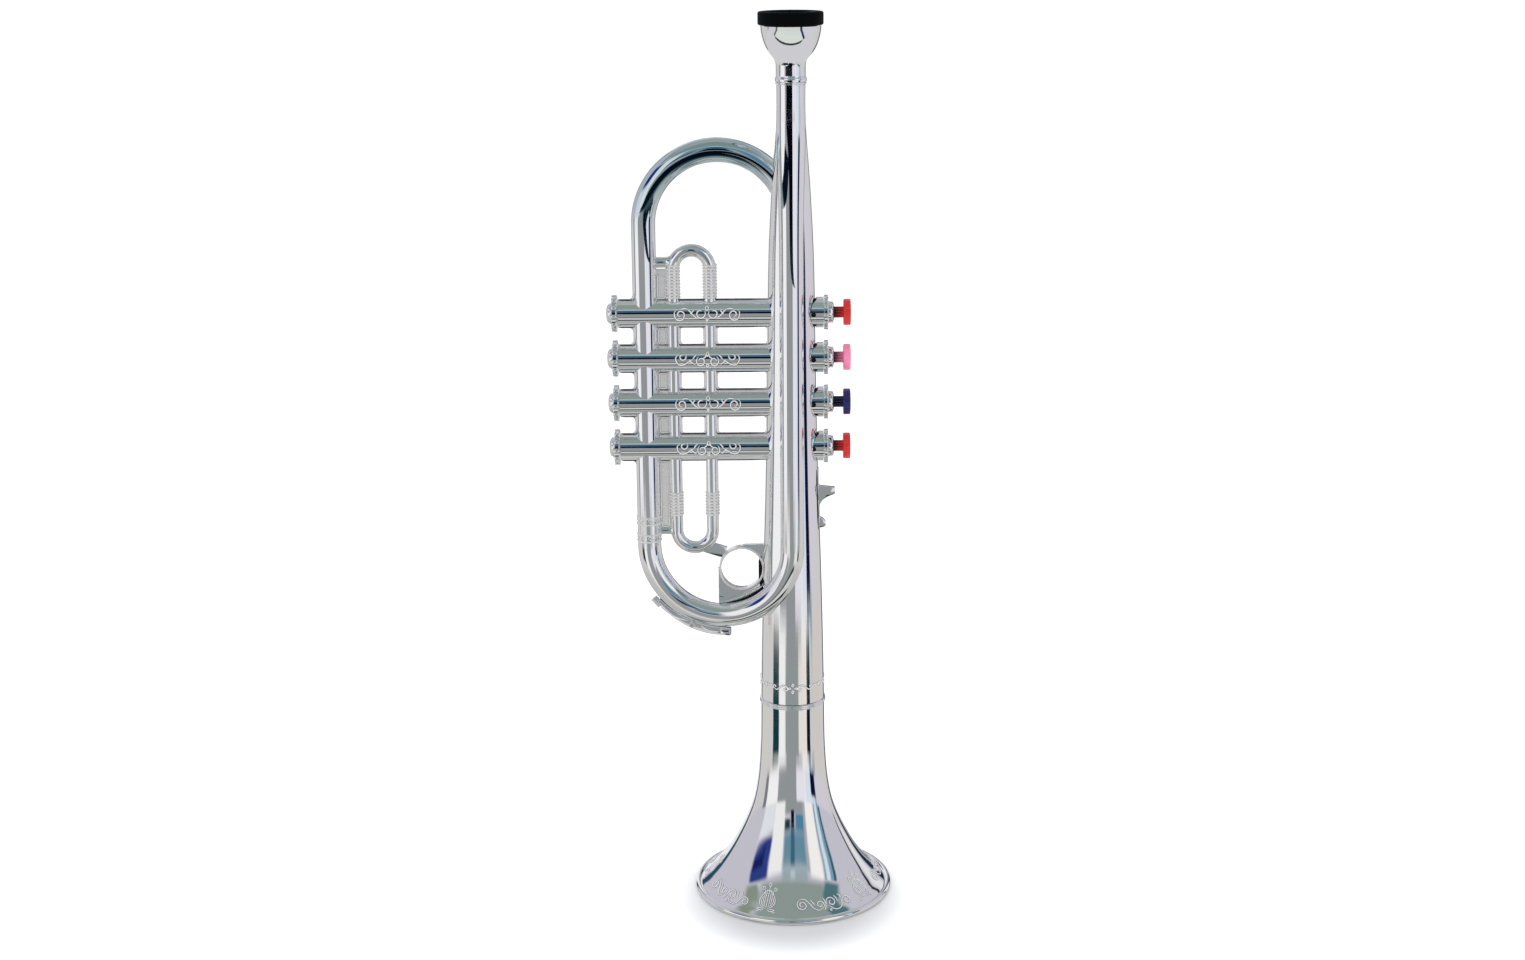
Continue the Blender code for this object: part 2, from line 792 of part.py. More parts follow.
def mouthpiece():
    """The cup with its shank, and the black rim that the lips touch."""
    outer = [(cup_mouth_radius * wide, cup_height * high) for high, wide in cup_outer_shares]
    inner = [(cup_mouth_radius * wide, cup_height * high) for high, wide in cup_inner_shares]
    pipe_bore = tube_radius * lead_pipe_shares[0][1] - moulding_wall
    shank_radius = pipe_bore - fit_gap
    mouth_bore = cup_mouth_radius - cup_wall
    outline = [
        *outer,
        (shank_radius, 0),
        (shank_radius, -shank_length),
        (shank_radius - shank_wall, -shank_length),
        (cup_throat_radius, 0),
        *inner,
        (mouth_bore, cup_height),
    ]
    stand = (0, -lead_pipe_forward, cup_base)
    place(turned("mouthpiece_cup", outline, mouthpiece_sides), "chrome", stand)
    tongue_radius = mouth_bore - fit_gap
    rim = [
        (lip_rim_radius - lip_rim_edge, lip_rim_height),
        (lip_rim_radius, lip_rim_height - lip_rim_edge),
        (lip_rim_radius, lip_rim_edge),
        (lip_rim_radius - lip_rim_edge, 0),
        (tongue_radius, 0),
        (tongue_radius, -lip_rim_tongue + lip_rim_edge),
        (lip_rim_hole_radius + lip_rim_edge, -lip_rim_tongue),
        (lip_rim_hole_radius, -lip_rim_tongue + lip_rim_edge),
        (lip_rim_hole_radius, lip_rim_height - 3 * lip_rim_edge),
        (lip_rim_hole_radius + lip_rim_edge, lip_rim_height - lip_rim_edge),
        (lip_rim_hole_radius + 3 * lip_rim_edge, lip_rim_height),
    ]
    place(turned("mouthpiece_rim", rim, mouthpiece_sides), "black_rim", (0, -lead_pipe_forward, lip_rim_base))


def copies(name, shape, finish):
    """One copy of a valve piece on each valve's axis, which runs to the right."""
    pattern = meshed(shape)
    mesh = pattern.data
    bpy.data.objects.remove(pattern)
    sideways = (0, math.radians(90), 0)
    for number, height in enumerate(valve_heights, 1):
        twin = bpy.data.objects.new(f"{name}_{number}", mesh)
        place(twin, finish, (0, 0, height), sideways)


def bottom_caps():
    """Flanged cap with a domed end and a spigot inside the casing."""
    far = -casing_left_reach - fit_gap
    flange = far - bottom_cap_thickness
    spigot = casing_bore_radius - fit_gap
    outline = [
        (0, far + cap_spigot_length),
        (spigot, far + cap_spigot_length),
        (spigot, far),
        (bottom_cap_radius - bottom_cap_groove, far),
        (bottom_cap_radius, far - bottom_cap_groove),
        (bottom_cap_radius, flange + bottom_cap_groove),
        (bottom_cap_radius - bottom_cap_groove, flange),
    ]
    for high, wide in dome_shares:
        outline.append((bottom_dome_radius * wide, flange - bottom_dome_height * high))
    copies("bottom_cap", turned("bottom_cap", outline, cap_sides), "chrome")


def head_sleeves():
    """Sleeves that slide over the casings' stubs, saddled to the column, each with its sound hole."""
    tools = collection("sleeve_cuts")
    around = helper(column_solid("column_clearance", fit_gap), tools)
    bore = casing_radius + stub_clearance
    shoulder = sleeve_end - sleeve_neck_length
    outline = [
        (sleeve_radius, sleeve_end),
        (sleeve_radius, sleeve_start),
        (bore, sleeve_start),
        (bore, shoulder),
        (casing_bore_radius, shoulder),
        (casing_bore_radius, sleeve_end),
    ]
    for number, height in enumerate(valve_heights, 1):
        sleeve = turned(f"head_sleeve_{number}", outline, cap_sides)
        place(sleeve, "chrome", (0, 0, height), (0, math.radians(90), 0))
        hole = rod(f"sound_hole_{number}", sound_hole_radius, sleeve_radius + cut_overrun, small_sides // 2)
        helper(hole, tools, (sound_hole_offset, 0, height), (math.radians(90), 0, 0))
        boolean(sleeve, "DIFFERENCE", around)
        boolean(sleeve, "DIFFERENCE", hole)


def top_caps():
    """Flanged cap with a nose, through which the button's stem passes."""
    near = sleeve_end + fit_gap
    flange = near + top_cap_thickness
    nose = top_cap_reach
    groove = bottom_cap_groove
    spigot = casing_bore_radius - fit_gap
    outline = [
        (stem_hole_radius + groove, nose),
        (top_nose_lip_radius, nose - groove),
        (top_nose_radius, nose - top_nose_height / 2),
        (top_nose_radius, flange),
        (top_cap_radius - groove, flange),
        (top_cap_radius, flange - groove),
        (top_cap_radius, near + groove),
        (top_cap_radius - groove, near),
        (spigot, near),
        (spigot, near - top_spigot_length),
        (stem_hole_radius, near - top_spigot_length),
        (stem_hole_radius, nose - groove),
    ]
    copies("top_cap", turned("top_cap", outline, cap_sides), "chrome")


def plunger_places():
    """Places along the valve's axis, from the button's face to the plunger's end."""
    flange_right = sleeve_end - top_spigot_length
    flange_left = flange_right - plunger_flange_thickness
    pad_right = seat_offset - fit_gap
    knob_right = pad_right - pad_thickness - fit_gap
    return flange_right, flange_left, pad_right, knob_right


def buttons():
    """Push button, fluted stem, flange, rod and knob in one moulding, one for each valve."""
    flange_right, flange_left, _, knob_right = plunger_places()
    back = button_reach - button_thickness
    edge = button_edge_radius
    outline = [
        (0, button_reach),
        (button_radius - edge, button_reach - button_crown),
        (button_radius, button_reach - button_crown - edge),
        (button_radius, back + edge),
        (button_radius - edge, back),
        (stem_core_radius, back),
        (stem_core_radius, flange_right),
        (plunger_flange_radius, flange_right),
        (plunger_flange_radius, flange_left),
        (rod_radius, flange_left),
        (rod_radius, knob_right),
        (knob_radius, knob_right),
        (knob_radius, knob_right - knob_thickness),
        (0, knob_right - knob_thickness),
    ]
    half, fin = stem_width / 2, stem_fin_thickness / 2
    fins = collection("stem_fins")
    middle = (button_reach + back) / 2
    foot = (flange_right + flange_left) / 2
    for number, height in enumerate(valve_heights, 1):
        finish = button_finishes[number - 1]
        button = turned(f"button_{number}", outline, small_sides)
        place(button, finish, (0, 0, height), (0, math.radians(90), 0))
        for way, (wide, tall) in enumerate(((half, fin), (fin, half))):
            blade = box(f"stem_fin_{number}_{way}", (foot, -wide, -tall), (middle, wide, tall))
            helper(blade, fins, (0, 0, height))
            boolean(button, "UNION", blade)


def valve_insides():
    """Seat, pad and return spring of each valve."""
    _, flange_left, pad_right, _ = plunger_places()
    seat = [
        (seat_radius, seat_offset + seat_thickness),
        (seat_radius, seat_offset),
        (seat_hole_radius, seat_offset),
        (seat_hole_radius, seat_offset + seat_thickness),
    ]
    copies("valve_seat", turned("valve_seat", seat, small_sides), "white_plastic")
    pad_bore = rod_radius + fit_gap
    pad = [
        (pad_radius, pad_right),
        (pad_radius, pad_right - pad_thickness),
        (pad_bore, pad_right - pad_thickness),
        (pad_bore, pad_right),
    ]
    copies("valve_pad", turned("valve_pad", pad, small_sides), "pad_rubber")
    start = seat_offset + seat_thickness + fit_gap + spring_wire_radius
    end = flange_left - fit_gap - spring_wire_radius
    count = round(spring_turns * spring_points_per_turn)
    coil = []
    for step in range(count + 1):
        turn = math.tau * step / spring_points_per_turn
        x, y = spring_coil_radius * math.cos(turn), spring_coil_radius * math.sin(turn)
        coil.append(Vector((x, y, start + (end - start) * step / count)))
    pitch = (end - start) / spring_turns
    print(f"return spring: least gap to itself {(pitch - 2 * spring_wire_radius) * 1000:.2f} mm")
    wire = solid_curve("return_spring", coil, [spring_wire_radius] * len(coil), wire_sides)
    copies("return_spring", wire, "spring_steel")


def reeds():
    """Reed plate with one open half at each end, and the brass tongue over its slot."""
    right = -reed_block_offset
    left = right - reed_block_length
    half = reed_plate_thickness / 2
    radius = reed_block_radius
    tools = collection("reed_cuts")
    reach = radius + cut_overrun
    slot = reed_length * reed_slot_share / 2
    slot_half_width = reed_width / 2 + reed_slot_play
    middle = (left + right) / 2
    for number, height in enumerate(valve_heights, 1):
        block = rod(f"reed_block_{number}", radius, reed_block_length, small_sides)
        place(block, "white_plastic", (left, 0, height), (0, math.radians(90), 0))
        cuts = (
            ((left - cut_overrun, -reach, half), (right - reed_end_wall, reach, reach)),
            ((left + reed_end_wall, -reach, -reach), (right + cut_overrun, reach, -half)),
            ((middle - slot, -slot_half_width, -radius), (middle + slot, slot_half_width, radius)),
        )
        for way, (low, high) in enumerate(cuts):
            cutter = helper(box(f"reed_cut_{number}_{way}", low, high), tools, (0, 0, height))
            boolean(block, "DIFFERENCE", cutter)
        base = height + half + reed_gap
        low = (middle - reed_length / 2, -reed_width / 2, base)
        high = (middle + reed_length / 2, reed_width / 2, base + reed_thickness)
        place(box(f"reed_{number}", low, high), "reed_brass")


def key_point(turn, depth):
    """A point in the water key's plane, at an angle of the lower bow and a depth below its outer line."""
    half_span = loop_span / 2
    reach = half_span + tube_radius + key_gap + depth
    return (half_span + reach * math.cos(turn)) * key_stretch, reach * math.sin(turn)


def key_turn(share):
    """Angle of the lower bow at a share of the way from the key's grip to its tip."""
    return key_grip_turn + (key_tip_turn - key_grip_turn) * share


def key_grip():
    """The ribbed grip, turned about its own length."""
    ring = key_grip_length / key_grip_ribs
    outline = [(0, key_grip_length / 2)]
    for rib in range(key_grip_ribs):
        top = key_grip_length / 2 - ring * rib
        outline.append((key_grip_radius - key_grip_groove, top))
        outline.append((key_grip_radius, top - ring / 2))
    outline.append((key_grip_radius - key_grip_groove, -key_grip_length / 2))
    outline.append((0, -key_grip_length / 2))
    return turned("key_grip", outline, small_sides // 2)


def water_key():
    """Dummy water key: a lever in the lower bow's plane, with a ribbed grip, a boss and a square tip."""
    turns = [key_turn(share) for share, _ in key_blade_shares]
    inner = [key_point(turn, 0) for turn in turns]
    outer = [key_point(turn, key_blade_depth * deep) for turn, (_, deep) in zip(turns, key_blade_shares)]
    lever = flat_solid("water_key", [inner + outer[::-1]], key_thickness)
    half = key_thickness / 2 + key_tip_proud
    tip_x, tip_z = inner[-1]
    low = (tip_x - key_tip_length / 2, -half, tip_z - key_tip_drop)
    high = (tip_x + key_tip_length / 2, half, tip_z - key_gap / 2)
    boss_x, boss_z = key_point(key_turn(key_boss_share), key_boss_radius)
    boss_long = key_thickness + 2 * key_boss_proud
    grip_x, grip_z = key_point(key_grip_turn, key_grip_radius)
    boss = rod("key_boss", key_boss_radius, boss_long, small_sides // 2)
    joined = collection("key_joined")
    pieces = [
        helper(key_grip(), joined, (grip_x, 0, grip_z), (0, -key_grip_turn, 0)),
        helper(box("key_tip", low, high), joined),
        helper(boss, joined, (boss_x, boss_long / 2, boss_z), (math.radians(90), 0, 0)),
    ]
    tilt = -math.atan2(lead_pipe_forward, loop_span)
    lever = carved(lever, "UNION", pieces, joined)
    place(lever, "chrome", (-loop_span, 0, lower_bow_height), (0, 0, tilt))


def finger_hook():
    """Thin strip in the column's side with a hooked tab and a small knob, for the little finger."""
    outline = []
    for out, high in hook_outline_shares:
        height = hook_bottom + hook_length * high
        outline.append((column_radius(height) + hook_proud + hook_reach * out, height))
    for _, high in reversed(hook_outline_shares):
        height = hook_bottom + hook_length * high
        spot = (column_radius(height) + hook_proud - hook_strip_width, height)
        if spot != outline[-1]:
            outline.append(spot)
    place(flat_solid("finger_hook", [outline], hook_depth), "chrome")


clear_scene()
parts = collection("toy_trumpet")
origin = bpy.data.objects.new("bell_axis", None)
parts.objects.link(origin)
origin.location = column_place
body()
bell()
mouthpiece()
bottom_caps()
head_sleeves()
top_caps()
buttons()
valve_insides()
reeds()
water_key()
finger_hook()
bpy.context.view_layer.update()
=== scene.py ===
"""Dresses the four-key toy trumpet in bright plating and coloured plastic, and sets it on a pale studio floor.

Sizes are in metres. Shapes of the bell tube and the loop are measured from the bell's axis, and each finished
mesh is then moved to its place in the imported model.
"""

from __future__ import annotations

import logging
import math
from collections.abc import Callable, Iterable, Sequence
from dataclasses import dataclass, field
from enum import Enum

import bmesh
import bpy
import numpy as np
from mathutils import Matrix, Vector


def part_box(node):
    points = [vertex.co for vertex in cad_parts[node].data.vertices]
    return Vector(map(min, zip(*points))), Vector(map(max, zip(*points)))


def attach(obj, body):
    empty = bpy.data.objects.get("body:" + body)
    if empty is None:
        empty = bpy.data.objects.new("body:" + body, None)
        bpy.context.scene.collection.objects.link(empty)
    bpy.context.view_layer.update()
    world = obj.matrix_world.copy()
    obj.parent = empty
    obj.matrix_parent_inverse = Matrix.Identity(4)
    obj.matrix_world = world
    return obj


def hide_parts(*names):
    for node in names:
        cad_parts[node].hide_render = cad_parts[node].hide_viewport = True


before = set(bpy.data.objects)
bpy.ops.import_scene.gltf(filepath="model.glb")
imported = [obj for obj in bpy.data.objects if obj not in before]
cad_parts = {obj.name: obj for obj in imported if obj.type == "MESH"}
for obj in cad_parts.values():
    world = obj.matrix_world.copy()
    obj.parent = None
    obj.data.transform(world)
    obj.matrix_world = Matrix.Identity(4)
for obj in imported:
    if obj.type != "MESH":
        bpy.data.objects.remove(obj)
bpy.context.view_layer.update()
log = logging.getLogger("toy_trumpet")

MM = 0.001
WAVE_HEIGHT = 0.060 * MM
GRAIN_HEIGHT = 0.025 * MM
MERGE = 1e-7
TURN = math.tau
Point2 = tuple[float, float]
Surface = Callable[[float, float], tuple[Vector, Vector]]

BELL_LOW, BELL_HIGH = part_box("bell")
AXIS_X = (BELL_LOW.x + BELL_HIGH.x) / 2
VALVES = (1, 2, 3, 4)


def mid(node: str) -> Vector:
    """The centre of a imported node's box."""
    low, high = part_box(node)
    return (low + high) / 2


VALVE_HEIGHTS = {number: mid(f"top_cap_{number}").z for number in VALVES}


class Coat(Enum):
    """What a piece is finished in."""

    PLATING = "plating"
    SEAMED = "seamed_plating"
    TUBING = "tubing_plating_painted_reflection"
    SATIN = "satin_plating"
    ORNAMENT = "raised_plating_painted_highlight"
    ORNAMENT_SHADE = "painted_shade_beside_ornament"
    PAINTED_SHADE = "painted_shade_black"
    RIM = "satin_black"
    RED = "red_gloss"
    PINK = "pink_gloss"
    NAVY = "navy_gloss"
    WHITE = "white_moulding"
    RUBBER = "pad_rubber"
    STEEL = "spring_wire"
    BRASS = "rolled_brass"


@dataclass(frozen=True)
class Finish:
    """The look of one coat: its colour and gloss, how strongly it is marked by use, and how much painted reflection it
    carries.
    """

    slot: str
    colour: tuple[float, float, float]
    roughness: float
    metallic: float = 0.0
    clear_coat: float = 0.0
    scratches: float = 0.0
    haze: float = 0.0
    waves: float = 0.0
    grain: float = 0.0
    seam: float = 0.0
    # share of a painted teal reflection laid on the upper bow beside the lead pipe
    cast: float = 0.0
    specular: float = 0.5
    # a random tone, which also turns on the painted shade of a button's stem
    tint: tuple[float, float, float] | None = None


PLATED = (0.955, 0.955, 0.96)
FINISHES: dict[Coat, Finish] = {
    Coat.PLATING: Finish("chrome_plating", PLATED, 0.035, 1.0, scratches=0.5, haze=0.05, waves=0.5),
    Coat.SEAMED: Finish("chrome_plating", PLATED, 0.035, 1.0, scratches=0.5, haze=0.05, waves=0.5, seam=1.0),
    # The tubing's plating carries a painted teal reflection on its upper bow.
    Coat.TUBING: Finish("chrome_plating", PLATED, 0.035, 1.0, scratches=0.5, haze=0.05, waves=0.5, seam=1.0, cast=0.45),
    Coat.SATIN: Finish("chrome_plating", (0.84, 0.82, 0.80), 0.24, 0.55, scratches=0.3, haze=0.08, waves=0.2),
    # Pale, mostly non-metal satin: raised lines read white, a painted highlight for the light the plating catches.
    Coat.ORNAMENT: Finish("chrome_plating", (0.90, 0.89, 0.89), 0.36, 0.25, scratches=0.2, haze=0.08),
    # Dark plating beside each raised line: a painted shade at its foot.
    Coat.ORNAMENT_SHADE: Finish("chrome_plating", (0.20, 0.21, 0.23), 0.30, 1.0, scratches=0.2, haze=0.08),
    # Near-black used only for painted shade: the sleeve cores, the corner lines, and the gaps and slots.
    Coat.PAINTED_SHADE: Finish("black_rim", (0.004, 0.005, 0.007), 0.6, haze=0.03, specular=0.2),
    Coat.RIM: Finish("black_rim", (0.0022, 0.0024, 0.0026), 0.42, scratches=0.2, haze=0.03, grain=0.4, specular=0.02),
    Coat.RED: Finish(
        "red_button", (0.67, 0.026, 0.022), 0.26, 0.0, 0.3, 0.4, 0.06, 0.3, 0.1, tint=(0.55, 0.014, 0.014)
    ),
    Coat.PINK: Finish("pink_button", (0.90, 0.26, 0.44), 0.26, 0.0, 0.3, 0.4, 0.06, 0.3, 0.1, tint=(0.82, 0.19, 0.35)),
    Coat.NAVY: Finish(
        "navy_button", (0.014, 0.009, 0.12), 0.26, 0.0, 0.3, 0.4, 0.06, 0.3, 0.1, tint=(0.009, 0.006, 0.075)
    ),
    Coat.WHITE: Finish("white_plastic", (0.80, 0.79, 0.75), 0.42, haze=0.1, grain=0.5),
    Coat.RUBBER: Finish("pad_rubber", (0.045, 0.045, 0.05), 0.80, haze=0.1, grain=1.0),
    Coat.STEEL: Finish("spring_steel", (0.56, 0.57, 0.59), 0.26, 1.0, scratches=0.6, haze=0.08),
    Coat.BRASS: Finish("reed_brass", (0.72, 0.50, 0.18), 0.24, 1.0, scratches=0.8, haze=0.08),
}
BUTTON_COATS = {1: Coat.RED, 2: Coat.PINK, 3: Coat.NAVY, 4: Coat.RED}


class Wires:
    """Adds nodes to a tree and joins them, so that a material reads as a list of steps."""

    def __init__(self, tree: bpy.types.NodeTree) -> None:
        """Takes the tree that the nodes go into."""
        self.tree = tree

    def node(self, kind: str, **settings: object) -> bpy.types.Node:
        """Adds a node.

        Args:
            kind: the node's type name.
            settings: properties to set on it.

        Returns:
            The new node.
        """
        made = self.tree.nodes.new(kind)
        for name, value in settings.items():
            setattr(made, name, value)
        return made

    def feed(self, socket: bpy.types.NodeSocket, value: object) -> None:
        """Links a socket to another, or sets its plain value."""
        if isinstance(value, bpy.types.NodeSocket):
            self.tree.links.new(value, socket)
        else:
            socket.default_value = value

    def math(self, operation: str, *values: object, clamp: bool = False) -> bpy.types.NodeSocket:
        """A number worked out from others."""
        made = self.node("ShaderNodeMath", operation=operation, use_clamp=clamp)
        for socket, value in zip(made.inputs, values):
            self.feed(socket, value)
        return made.outputs[0]

    def mix(self, share: object, first: object, second: object) -> bpy.types.NodeSocket:
        """A colour between two, by a share."""
        made = self.node("ShaderNodeMix", data_type="RGBA")
        self.feed(made.inputs[0], share)
        self.feed(made.inputs[6], first)
        self.feed(made.inputs[7], second)
        return made.outputs[2]

    def steps(
        self, value: object, low: float, high: float, to_low: float = 0.0, to_high: float = 1.0
    ) -> bpy.types.NodeSocket:
        """A smooth step of a number from one range to another."""
        made = self.node("ShaderNodeMapRange", interpolation_type="SMOOTHSTEP")
        for socket, item in zip(made.inputs, (value, low, high, to_low, to_high)):
            self.feed(socket, item)
        return made.outputs[0]

    def band(self, value: object, low: float, high: float, soft: float) -> bpy.types.NodeSocket:
        """One inside a range of a number and nought outside, with soft ends."""
        return self.math(
            "MULTIPLY", self.steps(value, low - soft, low + soft), self.steps(value, high + soft, high - soft)
        )

    def noise(self, spots: bpy.types.NodeSocket, scale: float, detail: float = 2.0) -> bpy.types.NodeSocket:
        """Soft noise of a scale and a detail."""
        made = self.node("ShaderNodeTexNoise")
        self.feed(made.inputs["Vector"], spots)
        made.inputs["Scale"].default_value = scale
        made.inputs["Detail"].default_value = detail
        return made.outputs[0]

    def axes(self, spots: bpy.types.NodeSocket) -> Sequence[bpy.types.NodeSocket]:
        """A place's three measures."""
        split = self.node("ShaderNodeSeparateXYZ")
        self.feed(split.inputs[0], spots)
        return split.outputs

    def ramp(self, value: object, stops: Sequence[tuple[float, tuple[float, float, float]]]) -> bpy.types.NodeSocket:
        """A colour read from a row of stops."""
        made = self.node("ShaderNodeValToRGB")
        row = made.color_ramp
        while len(row.elements) > 1:
            row.elements.remove(row.elements[-1])
        row.elements[0].position = stops[0][0]
        row.elements[0].color = (*stops[0][1], 1)
        for place, colour in stops[1:]:
            row.elements.new(place).color = (*colour, 1)
        self.feed(made.inputs[0], value)
        return made.outputs[0]


def group_tree(
    name: str, inputs: Iterable[tuple[str, str, float]], outputs: Iterable[tuple[str, str]]
) -> tuple[Wires, bpy.types.Node, bpy.types.Node]:
    """Starts a shader node group with named sockets.

    Args:
        name: the group's name.
        inputs: name, kind and default of each input.
        outputs: name and kind of each output.

    Returns:
        The wires of its tree, its input node and its output node.
    """
    tree = bpy.data.node_groups.new(name, "ShaderNodeTree")
    for label, kind, default in inputs:
        socket = tree.interface.new_socket(label, in_out="INPUT", socket_type=kind)
        if kind == "NodeSocketFloat":
            socket.default_value = default
    for label, kind in outputs:
        tree.interface.new_socket(label, in_out="OUTPUT", socket_type=kind)
    wires = Wires(tree)
    return wires, wires.node("NodeGroupInput"), wires.node("NodeGroupOutput")


class Effects:
    """The marks that several finishes share: fine scratches, handling haze, moulding waves, grain and the seam."""

    def __init__(self) -> None:
        """Builds each node group once."""
        self.scratches = self._scratches()
        self.haze = self._haze()
        self.waves = self._waves()
        self.seam = self._seam()

    @staticmethod
    def _scratches() -> bpy.types.NodeTree:
        """Hair-thin rub marks in three directions."""
        wires, given, out = group_tree(
            "fine_scratches",
            [("Coordinates", "NodeSocketVector", 0), ("Strength", "NodeSocketFloat", 0.5)],
            [("Mask", "NodeSocketFloat")],
        )
        found = None
        for turn in ((0.2, 0.5, 0.1), (1.1, 0.3, 0.9), (0.4, 1.3, 2.1)):
            place = wires.node("ShaderNodeMapping")
            wires.feed(place.inputs["Vector"], given.outputs["Coordinates"])
            place.inputs["Rotation"].default_value = turn
            place.inputs["Scale"].default_value = (38, 38, 1400)
            line = wires.band(wires.noise(place.outputs[0], 1.0, 1.0), 0.655, 0.675, 0.01)
            found = line if found is None else wires.math("MAXIMUM", found, line)
        wires.feed(out.inputs[0], wires.math("MULTIPLY", found, given.outputs["Strength"]))
        return wires.tree

    @staticmethod
    def _haze() -> bpy.types.NodeTree:
        """Faint cloudy patches, as fingers and dust leave."""
        wires, given, out = group_tree(
            "handling_haze",
            [("Coordinates", "NodeSocketVector", 0), ("Amount", "NodeSocketFloat", 0.1)],
            [("Roughness", "NodeSocketFloat"), ("Dust", "NodeSocketFloat")],
        )
        patches = wires.steps(wires.noise(given.outputs["Coordinates"], 55, 4), 0.42, 0.72)
        dots = wires.steps(wires.noise(given.outputs["Coordinates"], 2600, 1), 0.74, 0.80)
        wires.feed(out.inputs[0], wires.math("MULTIPLY", patches, given.outputs["Amount"]))
        wires.feed(out.inputs[1], wires.math("MULTIPLY", dots, given.outputs["Amount"]))
        return wires.tree

    @staticmethod
    def _waves() -> bpy.types.NodeTree:
        """Slow sink marks and a fine grain of moulded plastic, as a height in metres."""
        wires, given, out = group_tree(
            "moulding_waves",
            [
                ("Coordinates", "NodeSocketVector", 0), ("Waves", "NodeSocketFloat", 0.5),
                ("Grain", "NodeSocketFloat", 0.0),
            ],
            [("Height", "NodeSocketFloat")],
        )
        slow = wires.noise(given.outputs["Coordinates"], 70, 1)
        fine = wires.noise(given.outputs["Coordinates"], 1500, 2)
        wave = wires.math("MULTIPLY", wires.math("MULTIPLY", slow, given.outputs["Waves"]), WAVE_HEIGHT)
        grain = wires.math("MULTIPLY", wires.math("MULTIPLY", fine, given.outputs["Grain"]), GRAIN_HEIGHT)
        wires.feed(out.inputs[0], wires.math("ADD", wave, grain))
        return wires.tree

    @staticmethod
    def _seam() -> bpy.types.NodeTree:
        """The hair line where the two moulded halves meet, on the plane y = 0."""
        wires, given, out = group_tree(
            "parting_seam",
            [("Coordinates", "NodeSocketVector", 0), ("Half Width", "NodeSocketFloat", 0.15 * MM)],
            [("Mask", "NodeSocketFloat")],
        )
        off = wires.math("ABSOLUTE", wires.axes(given.outputs["Coordinates"])[1])
        near = wires.math("DIVIDE", off, given.outputs["Half Width"])
        wires.feed(out.inputs[0], wires.steps(near, 1.3, 0.7))
        return wires.tree


